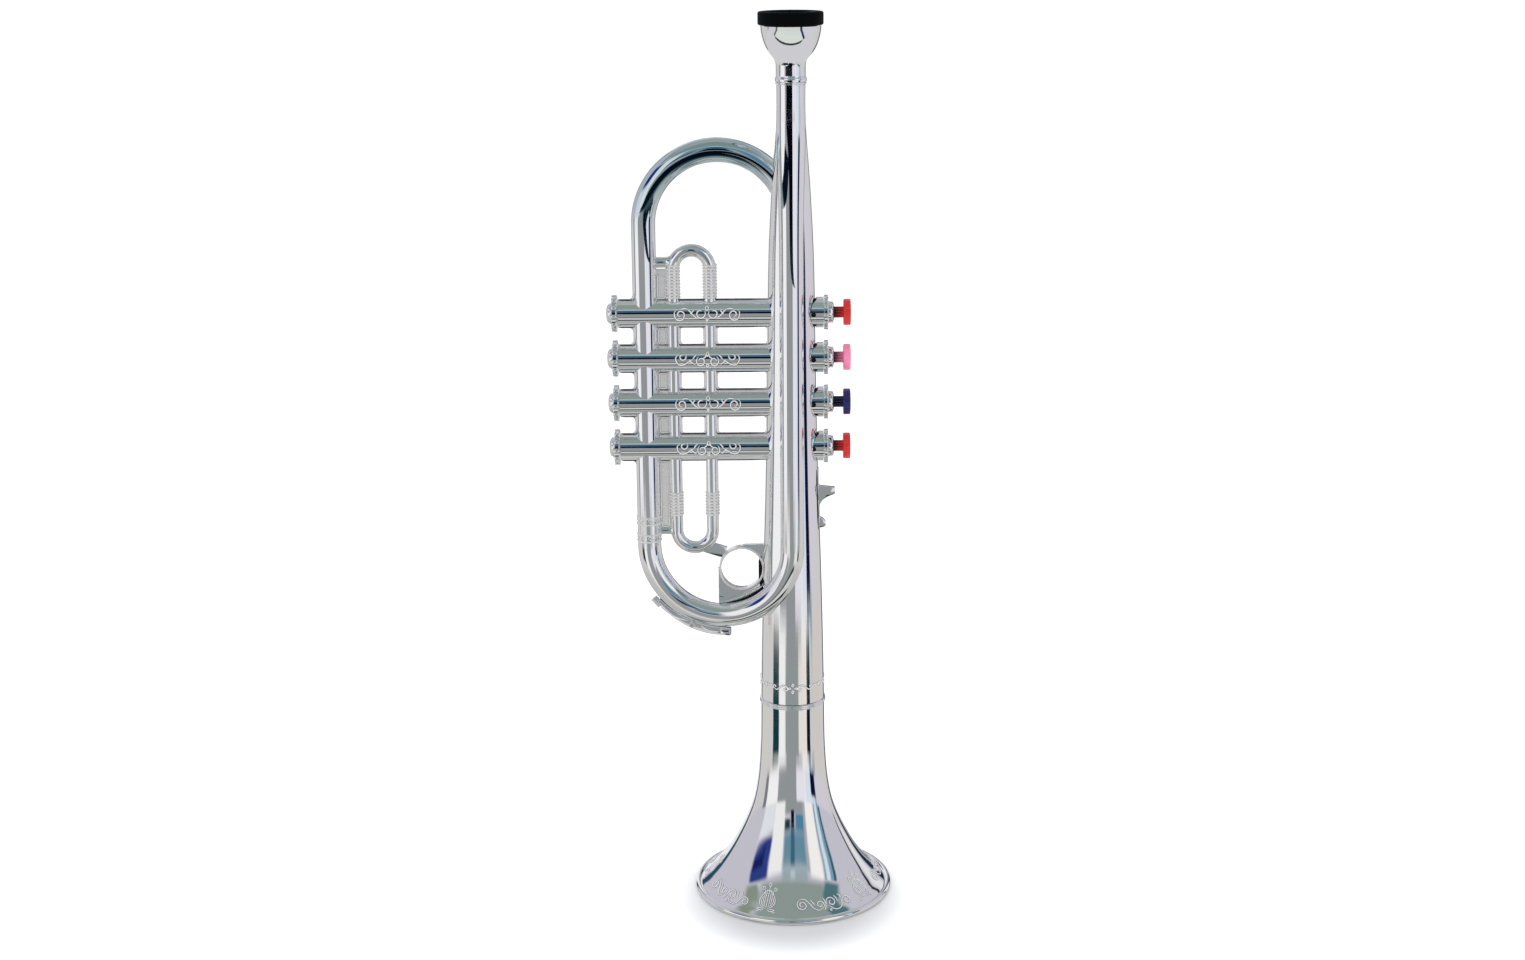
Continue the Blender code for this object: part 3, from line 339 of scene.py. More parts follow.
class Paint:
    """Makes the material of each coat, once."""

    # Where a button stem's painted shade starts from the bell's axis, and how far it fades out towards the button.
    stem_start: float = 19.4 * MM
    stem_shade: float = 5.4 * MM

    def __init__(self) -> None:
        """Builds the shared effects."""
        self.effects = Effects()
        self.made: dict[Coat, bpy.types.Material] = {}

    def of(self, coat: Coat) -> bpy.types.Material:
        """The material of a coat."""
        if coat not in self.made:
            self.made[coat] = self._mixed(coat.value, FINISHES[coat])
        return self.made[coat]

    def _placed(
        self, wires: Wires, tree: bpy.types.NodeTree, spots: bpy.types.NodeSocket, **values: float
    ) -> bpy.types.Node:
        """An effect's group in a material, with its own values."""
        made = wires.node("ShaderNodeGroup", node_tree=tree)
        wires.feed(made.inputs["Coordinates"], spots)
        for name, value in values.items():
            made.inputs[name.replace("_", " ")].default_value = value
        return made

    def _mixed(self, name: str, look: Finish) -> bpy.types.Material:
        """A procedural material from a finish.

        Args:
            name: the material's name.
            look: the finish.

        Returns:
            The material.
        """
        made = bpy.data.materials.new(name)
        made.use_nodes = True
        wires = Wires(made.node_tree)
        shader = made.node_tree.nodes["Principled BSDF"]
        spots = wires.node("ShaderNodeTexCoord").outputs["Object"]
        haze = self._placed(wires, self.effects.haze, spots, Amount=look.haze)
        scratch = self._placed(wires, self.effects.scratches, spots, Strength=look.scratches)
        waves = self._placed(wires, self.effects.waves, spots, Waves=look.waves, Grain=look.grain)
        rough = wires.math("ADD", haze.outputs["Roughness"], look.roughness)
        rough = wires.math("ADD", rough, wires.math("MULTIPLY", scratch.outputs["Mask"], 0.10))
        colour: object = (*look.colour, 1)
        if look.tint:
            colour = wires.mix(wires.steps(wires.noise(spots, 160), 0.40, 0.70), colour, (*look.tint, 1))
        dusty = (0.62, 0.60, 0.58, 1) if look.metallic < 0.5 else (0.72, 0.71, 0.70, 1)
        colour = wires.mix(haze.outputs["Dust"], colour, dusty)
        height = waves.outputs["Height"]
        across, _, rise = wires.axes(spots)
        # Painted shade: a button's stem is painted nearly black next to the top cap's nose, fading to its own colour
        # towards the button.
        if look.tint:
            start = AXIS_X + self.stem_start
            out_of_stem_shade = wires.steps(across, start, start + self.stem_shade)
            dark = tuple(0.04 * part for part in look.colour)
            colour = wires.mix(out_of_stem_shade, (*dark, 1), colour)
        # Painted reflection: a teal patch on the upper bow's top, left of the lead pipe, where the plating would mirror
        # teal.
        if look.cast:
            bow = wires.math(
                "MULTIPLY", wires.steps(rise, 0.312, 0.342), wires.steps(across, AXIS_X - 0.004, AXIS_X - 0.016)
            )
            colour = wires.mix(wires.math("MULTIPLY", bow, look.cast), colour, (0.36, 0.62, 0.70, 1))
        if look.seam:
            seam = self._placed(wires, self.effects.seam, spots)
            colour = wires.mix(seam.outputs["Mask"], colour, (0.10, 0.11, 0.13, 1))
            rough = wires.math("ADD", rough, wires.math("MULTIPLY", seam.outputs["Mask"], 0.25))
            height = wires.math("SUBTRACT", height, wires.math("MULTIPLY", seam.outputs["Mask"], 0.10 * MM))
        bump = wires.node("ShaderNodeBump")
        bump.inputs["Strength"].default_value = 1.0
        bump.inputs["Distance"].default_value = 1.0
        wires.feed(bump.inputs["Height"], height)
        wires.feed(shader.inputs["Base Color"], colour)
        wires.feed(shader.inputs["Roughness"], rough)
        wires.feed(shader.inputs["Normal"], bump.outputs[0])
        shader.inputs["Metallic"].default_value = look.metallic
        shader.inputs["Specular IOR Level"].default_value = look.specular
        shader.inputs["Coat Weight"].default_value = look.clear_coat
        shader.inputs["Coat Roughness"].default_value = 0.08
        made.diffuse_color = (*look.colour, 1)
        return made


def smoothed(rows: Sequence[Sequence[float]], count: int) -> list[tuple[float, ...]]:
    """Resamples a row of points on a smooth curve through them.

    Args:
        rows: the points, of any number of columns.
        count: how many points to give.

    Returns:
        The new points.
    """
    given = np.array(rows, float)
    steps = np.linalg.norm(np.diff(given, axis=0), axis=1) ** 0.5 + 1e-9
    spots = np.concatenate([[0], np.cumsum(steps)])
    slopes = np.gradient(given, spots, axis=0)
    found = []
    for spot in np.linspace(0, spots[-1], count):
        index = min(int(np.searchsorted(spots, spot, "right")) - 1, len(spots) - 2)
        span = spots[index + 1] - spots[index]
        t = (spot - spots[index]) / span
        a, b = given[index], given[index + 1]
        value = (
            (2 * t**3 - 3 * t**2 + 1) * a
            + (t**3 - 2 * t**2 + t) * span * slopes[index]
            + (-2 * t**3 + 3 * t**2) * b
            + (t**3 - t**2) * span * slopes[index + 1]
        )
        found.append(tuple(value))
    return found


def cleaned(mesh: bpy.types.Mesh) -> bpy.types.Mesh:
    """The mesh with its doubles merged and its normals outward."""
    shape = bmesh.new()
    shape.from_mesh(mesh)
    bmesh.ops.remove_doubles(shape, verts=shape.verts, dist=MERGE)
    bmesh.ops.recalc_face_normals(shape, faces=shape.faces)
    shape.to_mesh(mesh)
    shape.free()
    return mesh


def in_scene(name: str, data: bpy.types.ID) -> bpy.types.Object:
    """A new object of the scene."""
    obj = bpy.data.objects.new(name, data)
    bpy.context.scene.collection.objects.link(obj)
    return obj


def applied(obj: bpy.types.Object) -> bpy.types.Mesh:
    """An object's shape as a plain mesh, with its modifiers applied."""
    bpy.context.view_layer.update()
    return bpy.data.meshes.new_from_object(obj.evaluated_get(bpy.context.evaluated_depsgraph_get()))


def mesh_of(name: str, points: Iterable[Sequence[float]], faces: Iterable[Sequence[int]]) -> bpy.types.Mesh:
    """A cleaned mesh of points and faces."""
    mesh = bpy.data.meshes.new(name)
    mesh.from_pydata([tuple(point) for point in points], [], [tuple(face) for face in faces])
    return cleaned(mesh)


def ring_faces(rows: Iterable[int], count: int, sides: int) -> list[tuple[int, ...]]:
    """Faces from each of some rings to the one after it.

    Args:
        rows: the rings to start from.
        count: how many rings there are; the first follows the last.
        sides: how many points a ring has.

    Returns:
        The faces.
    """
    faces = []
    for row in rows:
        start, after = row * sides, (row + 1) % count * sides
        for side in range(sides):
            beside = (side + 1) % sides
            faces.append((start + side, start + beside, after + beside, after + side))
    return faces


def arc(centre: Point2, wide: float, start: float, end: float, count: int, high: float | None = None) -> list[Point2]:
    """Points on a part of a circle or an ellipse.

    Args:
        centre: its middle.
        wide: its radius along the first measure.
        start: the angle of the first point, in radians.
        end: the angle of the last point.
        count: how many points.
        high: its radius along the second measure, where that differs.

    Returns:
        The points.
    """
    tall = wide if high is None else high
    return [
        (centre[0] + wide * math.cos(turn), centre[1] + tall * math.sin(turn))
        for turn in np.linspace(start, end, count)
    ]


def front_of(thickness: float) -> Surface:
    """The front face of a plate in the X-Z plane."""
    return lambda u, v: (Vector((u, -thickness / 2, v)), Vector((0, -1, 0)))


def in_mm(strokes: Iterable[Sequence[Point2]], wide: float = 1.0, slant: float = 0.0) -> list[list[Point2]]:
    """Strokes drawn in millimetres, in metres; they can be narrowed and slanted."""
    return [[(wide * u * MM, (v + slant * u) * MM) for u, v in stroke] for stroke in strokes]


def lathe(
    name: str, profile: Sequence[Point2], sides: int, lobes: Callable[[float, float, float], float] | None = None
) -> bpy.types.Mesh:
    """A turned shape about Z.

    Args:
        name: the mesh's name.
        profile: radius and height of each ring; it closes on itself unless it starts and ends on the axis.
        sides: how many sides round the axis.
        lobes: changes a radius, given the radius, the height and the angle.

    Returns:
        The mesh.
    """
    points = []
    for radius, height in profile:
        for side in range(sides):
            turn = TURN * side / sides
            wide = lobes(radius, height, turn) if lobes else radius
            points.append((wide * math.cos(turn), wide * math.sin(turn), height))
    count = len(profile)
    on_axis = profile[0][0] < 1e-9 and profile[-1][0] < 1e-9
    return mesh_of(name, points, ring_faces(range(count - 1 if on_axis else count), count, sides))


def frames_along(path: Sequence[Vector], cyclic: bool) -> list[tuple[Vector, Vector]]:
    """Two directions across a line of points, at each of them, that don't twist."""
    count = len(path)
    tangents = []
    for index in range(count):
        before = path[(index - 1) % count] if cyclic or index else path[0]
        after = path[(index + 1) % count] if cyclic or index < count - 1 else path[-1]
        tangents.append((after - before).normalized())
    start = Vector((0, 1, 0)) if abs(tangents[0].y) < 0.9 else Vector((1, 0, 0))
    across = (start - tangents[0] * start.dot(tangents[0])).normalized()
    found = [(across, tangents[0].cross(across))]
    for before, tangent in zip(tangents, tangents[1:]):
        across = before.rotation_difference(tangent) @ across
        across = (across - tangent * across.dot(tangent)).normalized()
        found.append((across, tangent.cross(across)))
    return found


def tube(
    name: str, path: Sequence[Sequence[float]], radii: Sequence[float], sides: int, cyclic: bool = False
) -> bpy.types.Mesh:
    """A round tube along a line of points, with flat ends."""
    line = [Vector(point) for point in path]
    points = []
    for centre, radius, (across, other) in zip(line, radii, frames_along(line, cyclic)):
        for side in range(sides):
            turn = TURN * side / sides
            points.append(centre + (across * math.cos(turn) + other * math.sin(turn)) * radius)
    count = len(line)
    faces = ring_faces(range(count if cyclic else count - 1), count, sides)
    if not cyclic:
        faces.append(tuple(range(sides)))
        faces.append(tuple(range((count - 1) * sides, count * sides)))
    return mesh_of(name, points, faces)


def plate(name: str, outlines: Sequence[Sequence[Point2]], thickness: float, edge: float) -> bpy.types.Mesh:
    """A flat plate in the X-Z plane, centred on y = 0, with rounded edges; the inner outlines are holes."""
    curve = bpy.data.curves.new(name, "CURVE")
    curve.dimensions = "2D"
    curve.fill_mode = "BOTH"
    curve.extrude = thickness / 2 - edge
    curve.bevel_depth = edge
    curve.bevel_resolution = 2
    curve.offset = -edge
    for outline in outlines:
        spline = curve.splines.new("POLY")
        spline.points.add(len(outline) - 1)
        spline.use_cyclic_u = True
        for point, (x, z) in zip(spline.points, outline):
            point.co = (x, z, 0, 1)
    obj = in_scene(name, curve)
    mesh = applied(obj)
    bpy.data.objects.remove(obj)
    bpy.data.curves.remove(curve)
    mesh.transform(Matrix.Rotation(TURN / 4, 4, "X"))
    mesh.materials.clear()
    return cleaned(mesh)


def relief(
    name: str, strokes: Iterable[Sequence[Point2]], surface: Surface, width: float, height: float
) -> bpy.types.Mesh:
    """Raised lines on a surface, each thin at its two ends.

    Args:
        name: the mesh's name.
        strokes: the lines, in the surface's two measures.
        surface: gives the place and the normal of a point of the surface.
        width: a line's width at its middle.
        height: how far a line stands out.

    Returns:
        The mesh.
    """
    shares = ((-0.5, -0.35), (-0.36, 0.45), (-0.15, 0.93), (0.15, 0.93), (0.36, 0.45), (0.5, -0.35))
    points, faces = [], []
    for stroke in strokes:
        line = smoothed(stroke, max(10, 5 * len(stroke)))
        count = len(line)
        base = len(points)
        for index, spot in enumerate(line):
            before, after = Vector(line[max(index - 1, 0)]), Vector(line[min(index + 1, count - 1)])
            run = (after - before).normalized()
            share = index / (count - 1)
            full = 0.35 + 0.65 * min(1.0, 6 * share, 6 * (1 - share))
            for off, up in shares:
                u = spot[0] - run.y * off * width * full
                v = spot[1] + run.x * off * width * full
                place, normal = surface(u, v)
                points.append(place + normal * height * up * full)
        step = len(shares)
        faces += [tuple(base + corner for corner in face) for face in ring_faces(range(count - 1), count, step)]
        faces.append(tuple(range(base, base + step)))
        faces.append(tuple(range(base + (count - 1) * step, base + count * step)))
    return mesh_of(name, points, faces)


def curl(centre: Point2, start: float, sweep: float, wide: float, narrow: float) -> list[Point2]:
    """A spiral stroke, from one radius to another round a centre; angles are in degrees."""
    count = max(6, int(abs(sweep) / 30))
    found = []
    for step in range(count + 1):
        share = step / count
        turn = math.radians(start + sweep * share)
        radius = wide + (narrow - wide) * share
        found.append((centre[0] + radius * math.cos(turn), centre[1] + radius * math.sin(turn)))
    return found


def flipped(strokes: Iterable[Sequence[Point2]]) -> list[list[Point2]]:
    """The strokes and their mirror images."""
    given = [list(stroke) for stroke in strokes]
    return given + [[(-u, v) for u, v in stroke] for stroke in given]


def joined(name: str, meshes: Sequence[bpy.types.Mesh]) -> bpy.types.Mesh:
    """Several meshes as one."""
    shape = bmesh.new()
    for mesh in meshes:
        shape.from_mesh(mesh)
    for mesh in meshes:
        bpy.data.meshes.remove(mesh)
    made = bpy.data.meshes.new(name)
    shape.to_mesh(made)
    shape.free()
    return made


def drilled(mesh: bpy.types.Mesh, drill: bpy.types.Mesh) -> bpy.types.Mesh:
    """A mesh with the shape of another cut out of it."""
    objects = [in_scene(item.name, item) for item in (mesh, drill)]
    cut = objects[0].modifiers.new("Cut", "BOOLEAN")
    cut.operation, cut.solver, cut.object = "DIFFERENCE", "EXACT", objects[1]
    made = applied(objects[0])
    name = mesh.name
    for obj in objects:
        bpy.data.objects.remove(obj)
    bpy.data.meshes.remove(mesh)
    bpy.data.meshes.remove(drill)
    made.name = name
    return made


class Repeat(Enum):
    """How copies of a shape are set out."""

    ROUND = "round_an_axis"
    ROW = "in_a_row"


class Copier:
    """Geometry node trees that set out copies of one shape and make them real."""

    def __init__(self) -> None:
        """Builds both trees."""
        self.trees = {kind: self._tree(kind) for kind in Repeat}

    @staticmethod
    def _tree(kind: Repeat) -> bpy.types.NodeTree:
        """A tree with named inputs for the count, the step and the material."""
        tree = bpy.data.node_groups.new(kind.value, "GeometryNodeTree")
        face = tree.interface
        face.new_socket("Shape", in_out="INPUT", socket_type="NodeSocketGeometry")
        face.new_socket("Count", in_out="INPUT", socket_type="NodeSocketInt")
        face.new_socket("Step", in_out="INPUT", socket_type="NodeSocketVector")
        face.new_socket("Coat", in_out="INPUT", socket_type="NodeSocketMaterial")
        face.new_socket("Shape", in_out="OUTPUT", socket_type="NodeSocketGeometry")
        wires = Wires(tree)
        given, out = wires.node("NodeGroupInput"), wires.node("NodeGroupOutput")
        line = wires.node("GeometryNodeMeshLine")
        wires.feed(line.inputs["Count"], given.outputs["Count"])
        spread = wires.node("GeometryNodeInstanceOnPoints")
        wires.feed(spread.inputs["Points"], line.outputs[0])
        wires.feed(spread.inputs["Instance"], given.outputs["Shape"])
        if kind is Repeat.ROW:
            wires.feed(line.inputs["Offset"], given.outputs["Step"])
        else:
            line.inputs["Offset"].default_value = (0, 0, 0)
            scaled = wires.node("ShaderNodeVectorMath", operation="SCALE")
            wires.feed(scaled.inputs[0], given.outputs["Step"])
            wires.feed(scaled.inputs["Scale"], wires.node("GeometryNodeInputIndex").outputs[0])
            wires.feed(spread.inputs["Rotation"], scaled.outputs[0])
        real = wires.node("GeometryNodeRealizeInstances")
        wires.feed(real.inputs[0], spread.outputs[0])
        coated = wires.node("GeometryNodeSetMaterial")
        wires.feed(coated.inputs["Geometry"], real.outputs[0])
        wires.feed(coated.inputs["Material"], given.outputs["Coat"])
        wires.feed(out.inputs[0], coated.outputs[0])
        return tree

    def made(
        self, mesh: bpy.types.Mesh, kind: Repeat, count: int, step: Sequence[float], coat: bpy.types.Material
    ) -> bpy.types.Mesh:
        """The copies as one plain mesh.

        Args:
            mesh: the shape to copy.
            kind: round an axis or in a row.
            count: how many copies.
            step: the turn or the shift from one copy to the next.
            coat: the material of the copies.

        Returns:
            The mesh of all the copies.
        """
        obj = in_scene(mesh.name, mesh)
        modifier = obj.modifiers.new("Copies", "NODES")
        modifier.node_group = self.trees[kind]
        values = {"Count": count, "Step": tuple(step), "Coat": coat}
        for item in self.trees[kind].interface.items_tree:
            if item.item_type == "SOCKET" and item.in_out == "INPUT" and item.name in values:
                modifier[item.identifier] = values[item.name]
        made = applied(obj)
        name = mesh.name
        bpy.data.objects.remove(obj)
        bpy.data.meshes.remove(mesh)
        made.name = name
        return made


class Bench:
    """Where pieces are coated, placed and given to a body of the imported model."""

    def __init__(self) -> None:
        """Sets out the paints and the copier."""
        self.paint = Paint()
        self.copier = Copier()
        self.pieces: list[str] = []

    def around(self, mesh: bpy.types.Mesh, count: int, coat: Coat) -> bpy.types.Mesh:
        """Copies of a mesh spread evenly round the Z axis."""
        return self.copier.made(mesh, Repeat.ROUND, count, (0, 0, TURN / count), self.paint.of(coat))

    def row(self, mesh: bpy.types.Mesh, count: int, step: Sequence[float], coat: Coat) -> bpy.types.Mesh:
        """Copies of a mesh in a straight row."""
        return self.copier.made(mesh, Repeat.ROW, count, step, self.paint.of(coat))

    def ornament(
        self, name: str, strokes: Sequence[Sequence[Point2]], surface: Surface, width: float, repeats: int = 1,
        place: Matrix | None = None
    ) -> None:
        """Raises a line ornament: its top in a pale satin, a painted highlight, and a wider foot in dark plating, a
        painted shade beside the line.

        Args:
            name: the piece's name.
            strokes: the lines, in the surface's two measures.
            surface: gives the place and the normal of a point.
            width: a line's width.
            repeats: how many times it stands round the Z axis.
            place: where it goes from its own axis.
        """
        for label, coat, wide, high in (("", Coat.ORNAMENT, 1.0, 0.60), ("_foot", Coat.ORNAMENT_SHADE, 1.55, 0.20)):
            mesh = relief(name + label, strokes, surface, width * wide, width * high)
            if repeats > 1:
                mesh = self.around(mesh, repeats, coat)
            self.add(mesh, coat, place=place, sharp=70)

    def add(
        self,
        mesh: bpy.types.Mesh,
        coat: Coat,
        body: str = "trumpet",
        stands_for: Sequence[str] = (),
        place: Matrix | None = None,
        sharp: float = 38,
    ) -> bpy.types.Object:
        """Finishes a piece and lets it ride on a body.

        Args:
            mesh: its shape, measured from the bell's axis unless a place is given.
            coat: its finish.
            body: the body that it moves with.
            stands_for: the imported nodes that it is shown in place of.
            place: where the mesh goes from its own axis.
            sharp: the angle in degrees above which an edge shows as sharp.

        Returns:
            The piece.
        """
        mesh.transform(Matrix.Translation((AXIS_X, 0, 0)) @ (place or Matrix()))
        mesh.materials.clear()
        mesh.materials.append(self.paint.of(coat))
        mesh.shade_smooth()
        mesh.set_sharp_from_angle(angle=math.radians(sharp))
        obj = in_scene(mesh.name, mesh)
        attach(obj, body)
        if stands_for:
            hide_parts(*stands_for)
        self.pieces.append(obj.name)
        log.info("%s: %d faces, in %s, on %s", obj.name, len(mesh.polygons), coat.value, body)
        return obj


def on_valve_axis(height: float) -> Matrix:
    """Turns a shape about Z to lie along +X on a valve's axis."""
    return Matrix.Translation((0, 0, height)) @ Matrix.Rotation(TURN / 4, 4, "Y")


@dataclass
class BellTube:
    """The tall bell tube, which leans forward into the lead pipe at its top."""

    base: float = 98.1 * MM
    length: float = 280 * MM
    base_radius: float = 15.2 * MM
    wall: float = 1.5 * MM
    lean: float = 11.5 * MM
    sides: int = 128
    shares: tuple[tuple[float, float, float], ...] = (
        (0.000, 1.000, 0.00), (0.061, 0.980, 0.00), (0.133, 0.954, 0.00), (0.240, 0.901, 0.00), (0.347, 0.836, 0.00),
        (0.479, 0.776, 0.00), (0.626, 0.730, 0.00), (0.701, 0.711, 0.00), (0.761, 0.684, 0.02), (0.847, 0.605, 0.17),
        (0.900, 0.539, 0.45), (0.940, 0.480, 0.75), (0.979, 0.427, 0.97),
    )

    def radius(self, height: float) -> float:
        """Outer radius at a height."""
        share = (height - self.base) / self.length
        return self.base_radius * float(
            np.interp(share, [row[0] for row in self.shares], [row[1] for row in self.shares])
        )

    def build(self, bench: Bench) -> None:
        """Makes the hollow tube, which stands for both halves of the body."""
        rows = smoothed(self.shares, 140)
        rings = []
        for share, wide, lean in rows:
            rings.append((self.base_radius * wide, self.base + self.length * share, -self.lean * min(1, max(0, lean))))
        hollow = [
            (radius - self.wall, height, off)
            for radius, height, off in reversed(rings) if height < self.base + 0.9 * self.length
        ]
        rings = [*rings, (0, rings[-1][1], rings[-1][2]), (0, hollow[0][1], hollow[0][2]), *hollow]
        points = []
        for radius, height, off in rings:
            for side in range(self.sides):
                turn = TURN * side / self.sides
                points.append((radius * math.cos(turn), off + radius * math.sin(turn), height))
        count = len(rings)
        apart = count - len(hollow) - 1
        faces = ring_faces((row for row in range(count) if row != apart - 1), count, self.sides)
        bench.add(mesh_of("bell_tube", points, faces), Coat.SEAMED, stands_for=("body_front_half", "body_back_half"))


@dataclass
class Windway:
    """The main tube: lead pipe, lower bow, left leg and upper bow, with its ferrule rings."""

    radius: float = 5.5 * MM
    forward: float = 11.5 * MM
    top: float = 389.2 * MM
    lower_bow: float = 173.9 * MM
    upper_bow: float = 324.8 * MM
    span: float = 67 * MM
    end_turn: float = math.radians(12)
    sides: int = 64
    pipe_shares: tuple[Point2, ...] = (
        (0.0, 1.18), (0.043, 1.17), (0.100, 1.20), (0.180, 1.13), (0.250, 1.05), (0.320, 1.01), (0.42, 1.0), (0.7, 1.0),
        (1.0, 1.0),
    )
    ferrule_heights: tuple[float, ...] = (187.6 * MM, 184.4 * MM, 179.3 * MM, 176.1 * MM)
    ferrule_size: float = 0.55 * MM

    def line(self) -> tuple[list[Vector], list[float]]:
        """Centre line and radii, from the lead pipe's top to the end in the bell tube."""
        points, radii = [], []
        length = self.top - self.lower_bow
        for share, wide in smoothed(self.pipe_shares, 60):
            points.append(Vector((0, -self.forward, self.top - length * share)))
            radii.append(self.radius * wide)
        half = self.span / 2
        for step in range(1, 57):
            turn = -math.pi * step / 56
            x = -half + half * math.cos(turn)
            points.append(
                Vector((x, -self.forward * (x + self.span) / self.span, self.lower_bow + half * math.sin(turn)))
            )
        for step in range(1, 24):
            points.append(Vector((-self.span, 0, self.lower_bow + (self.upper_bow - self.lower_bow) * step / 24)))
        for step in range(57):
            turn = math.pi + (self.end_turn - math.pi) * step / 56
            points.append(Vector((-half + half * math.cos(turn), 0, self.upper_bow + half * math.sin(turn))))
        radii += [self.radius] * (len(points) - len(radii))
        return points, radii

    def build(self, bench: Bench) -> None:
        """Makes the tube, the collar at its mouth and the ferrule rings."""
        points, radii = self.line()
        bench.add(tube("windway", points, radii, self.sides), Coat.TUBING)
        wide = self.radius * self.pipe_shares[0][1]
        lip = 0.45 * MM
        ring = [
            (wide - lip, 0), (wide + lip * 0.5, 0), (wide + lip, lip * 0.5), (wide + lip, lip * 1.6),
            (wide + lip * 0.5, lip * 2.1), (wide - lip, lip * 2.1),
        ]
        collar = lathe("lead_pipe_collar", ring, 96)
        bench.add(collar, Coat.PLATING, place=Matrix.Translation((0, -self.forward, self.top - lip * 2.1)))
        self._ferrules(bench)

    def _ferrules(self, bench: Bench) -> None:
        """Raised rings in two pairs round the foot of the left leg, with a small leaf on each."""
        size = self.ferrule_size
        crown = arc((self.radius, 0), size * 0.75, -1.3, 1.3, 7, size * 0.8)
        round_ring = [(self.radius - size, -size * 0.8), *crown, (self.radius - size, size * 0.8)]
        pair = lathe("ferrule_rings", round_ring, 72)
        rise = self.ferrule_heights[0] - self.ferrule_heights[1]
        pair = bench.row(pair, 2, (0, 0, rise), Coat.ORNAMENT)
        two = bench.row(pair, 2, (0, 0, self.ferrule_heights[1] - self.ferrule_heights[3]), Coat.ORNAMENT)
        bench.add(two, Coat.SATIN, place=Matrix.Translation((-self.span, 0, self.ferrule_heights[3])))
        strokes = []
        for low in (self.ferrule_heights[3], self.ferrule_heights[1]):
            for turn in range(0, 360, 60):
                centre = (math.radians(turn + 40) * self.radius, low + rise / 2)
                strokes.append(curl(centre, 200, -420, 1.25 * MM, 0.35 * MM))
                strokes.append(
                    [
                        (centre[0] + 1.0 * MM, centre[1] - 0.9 * MM), (centre[0] + 2.0 * MM, centre[1] + 0.1 * MM),
                        (centre[0] + 2.7 * MM, centre[1] + 1.0 * MM),
                    ]
                )

        def skin(u: float, v: float) -> tuple[Vector, Vector]:
            """A point of the leg, by the length round it and the height."""
            turn = u / self.radius
            normal = Vector((math.cos(turn), math.sin(turn), 0))
            return Vector((-self.span, 0, v)) + normal * self.radius, normal

        bench.ornament("ferrule_leaves", strokes, skin, 0.42 * MM)


@dataclass
class SmallLoop:
    """The closed loop of small tube across the casings, its ribs and its two struts."""

    radius: float = 2.9 * MM
    bow: float = 8.4 * MM
    offset: float = 45.5 * MM
    low: float = 180.5 * MM
    high: float = 304.5 * MM
    leg: float = 67 * MM
    rib_pitch: float = 1.46 * MM
    rib_proud: float = 0.52 * MM
    upper_ribs: tuple[float, int] = (291.5 * MM, 11)
    lower_ribs: tuple[float, int] = (188.6 * MM, 8)
    struts: tuple[Point2, ...] = ((307.5 * MM, 2.4 * MM), (180.5 * MM, 1.9 * MM))

    def build(self, bench: Bench) -> None:
        """Makes the loop, its ribs and its struts."""
        path = []
        for step in range(33):
            turn = math.pi * step / 32
            path.append((-self.offset + self.bow * math.cos(turn), 0, self.high + self.bow * math.sin(turn)))
        path += [(-self.offset - self.bow, 0, self.high + (self.low - self.high) * step / 12) for step in range(1, 12)]
        for step in range(33):
            turn = math.pi + math.pi * step / 32
            path.append((-self.offset + self.bow * math.cos(turn), 0, self.low + self.bow * math.sin(turn)))
        path += [(-self.offset + self.bow, 0, self.low + (self.high - self.low) * step / 12) for step in range(1, 12)]
        bench.add(tube("small_loop", path, [self.radius] * len(path), 40, cyclic=True), Coat.SEAMED)
        size = self.rib_proud
        rib = [(self.radius - size, -size), *arc((self.radius, 0), size, -1.35, 1.35, 6), (self.radius - size, size)]
        meshes = []
        for side in (-1, 1):
            for start, count in (self.upper_ribs, self.lower_ribs):
                ribs = bench.row(lathe("small_ribs", rib, 40), count, (0, 0, self.rib_pitch), Coat.PLATING)
                ribs.transform(Matrix.Translation((-self.offset + side * self.bow, 0, start)))
                meshes.append(ribs)
        bench.add(joined("small_ribs", meshes), Coat.SATIN)
        meshes = []
        for height, radius in self.struts:
            start, end = -self.leg + 4 * MM, -self.offset - self.bow - 1.5 * MM
            reach = [start + (end - start) * step / 16 for step in range(17)]
            flare = [radius * (1 + 0.28 * (abs(step - 8) / 8) ** 4) for step in range(17)]
            meshes.append(tube("struts", [(x, 0, height) for x in reach], flare, 36))
        bench.add(joined("struts", meshes), Coat.SEAMED)


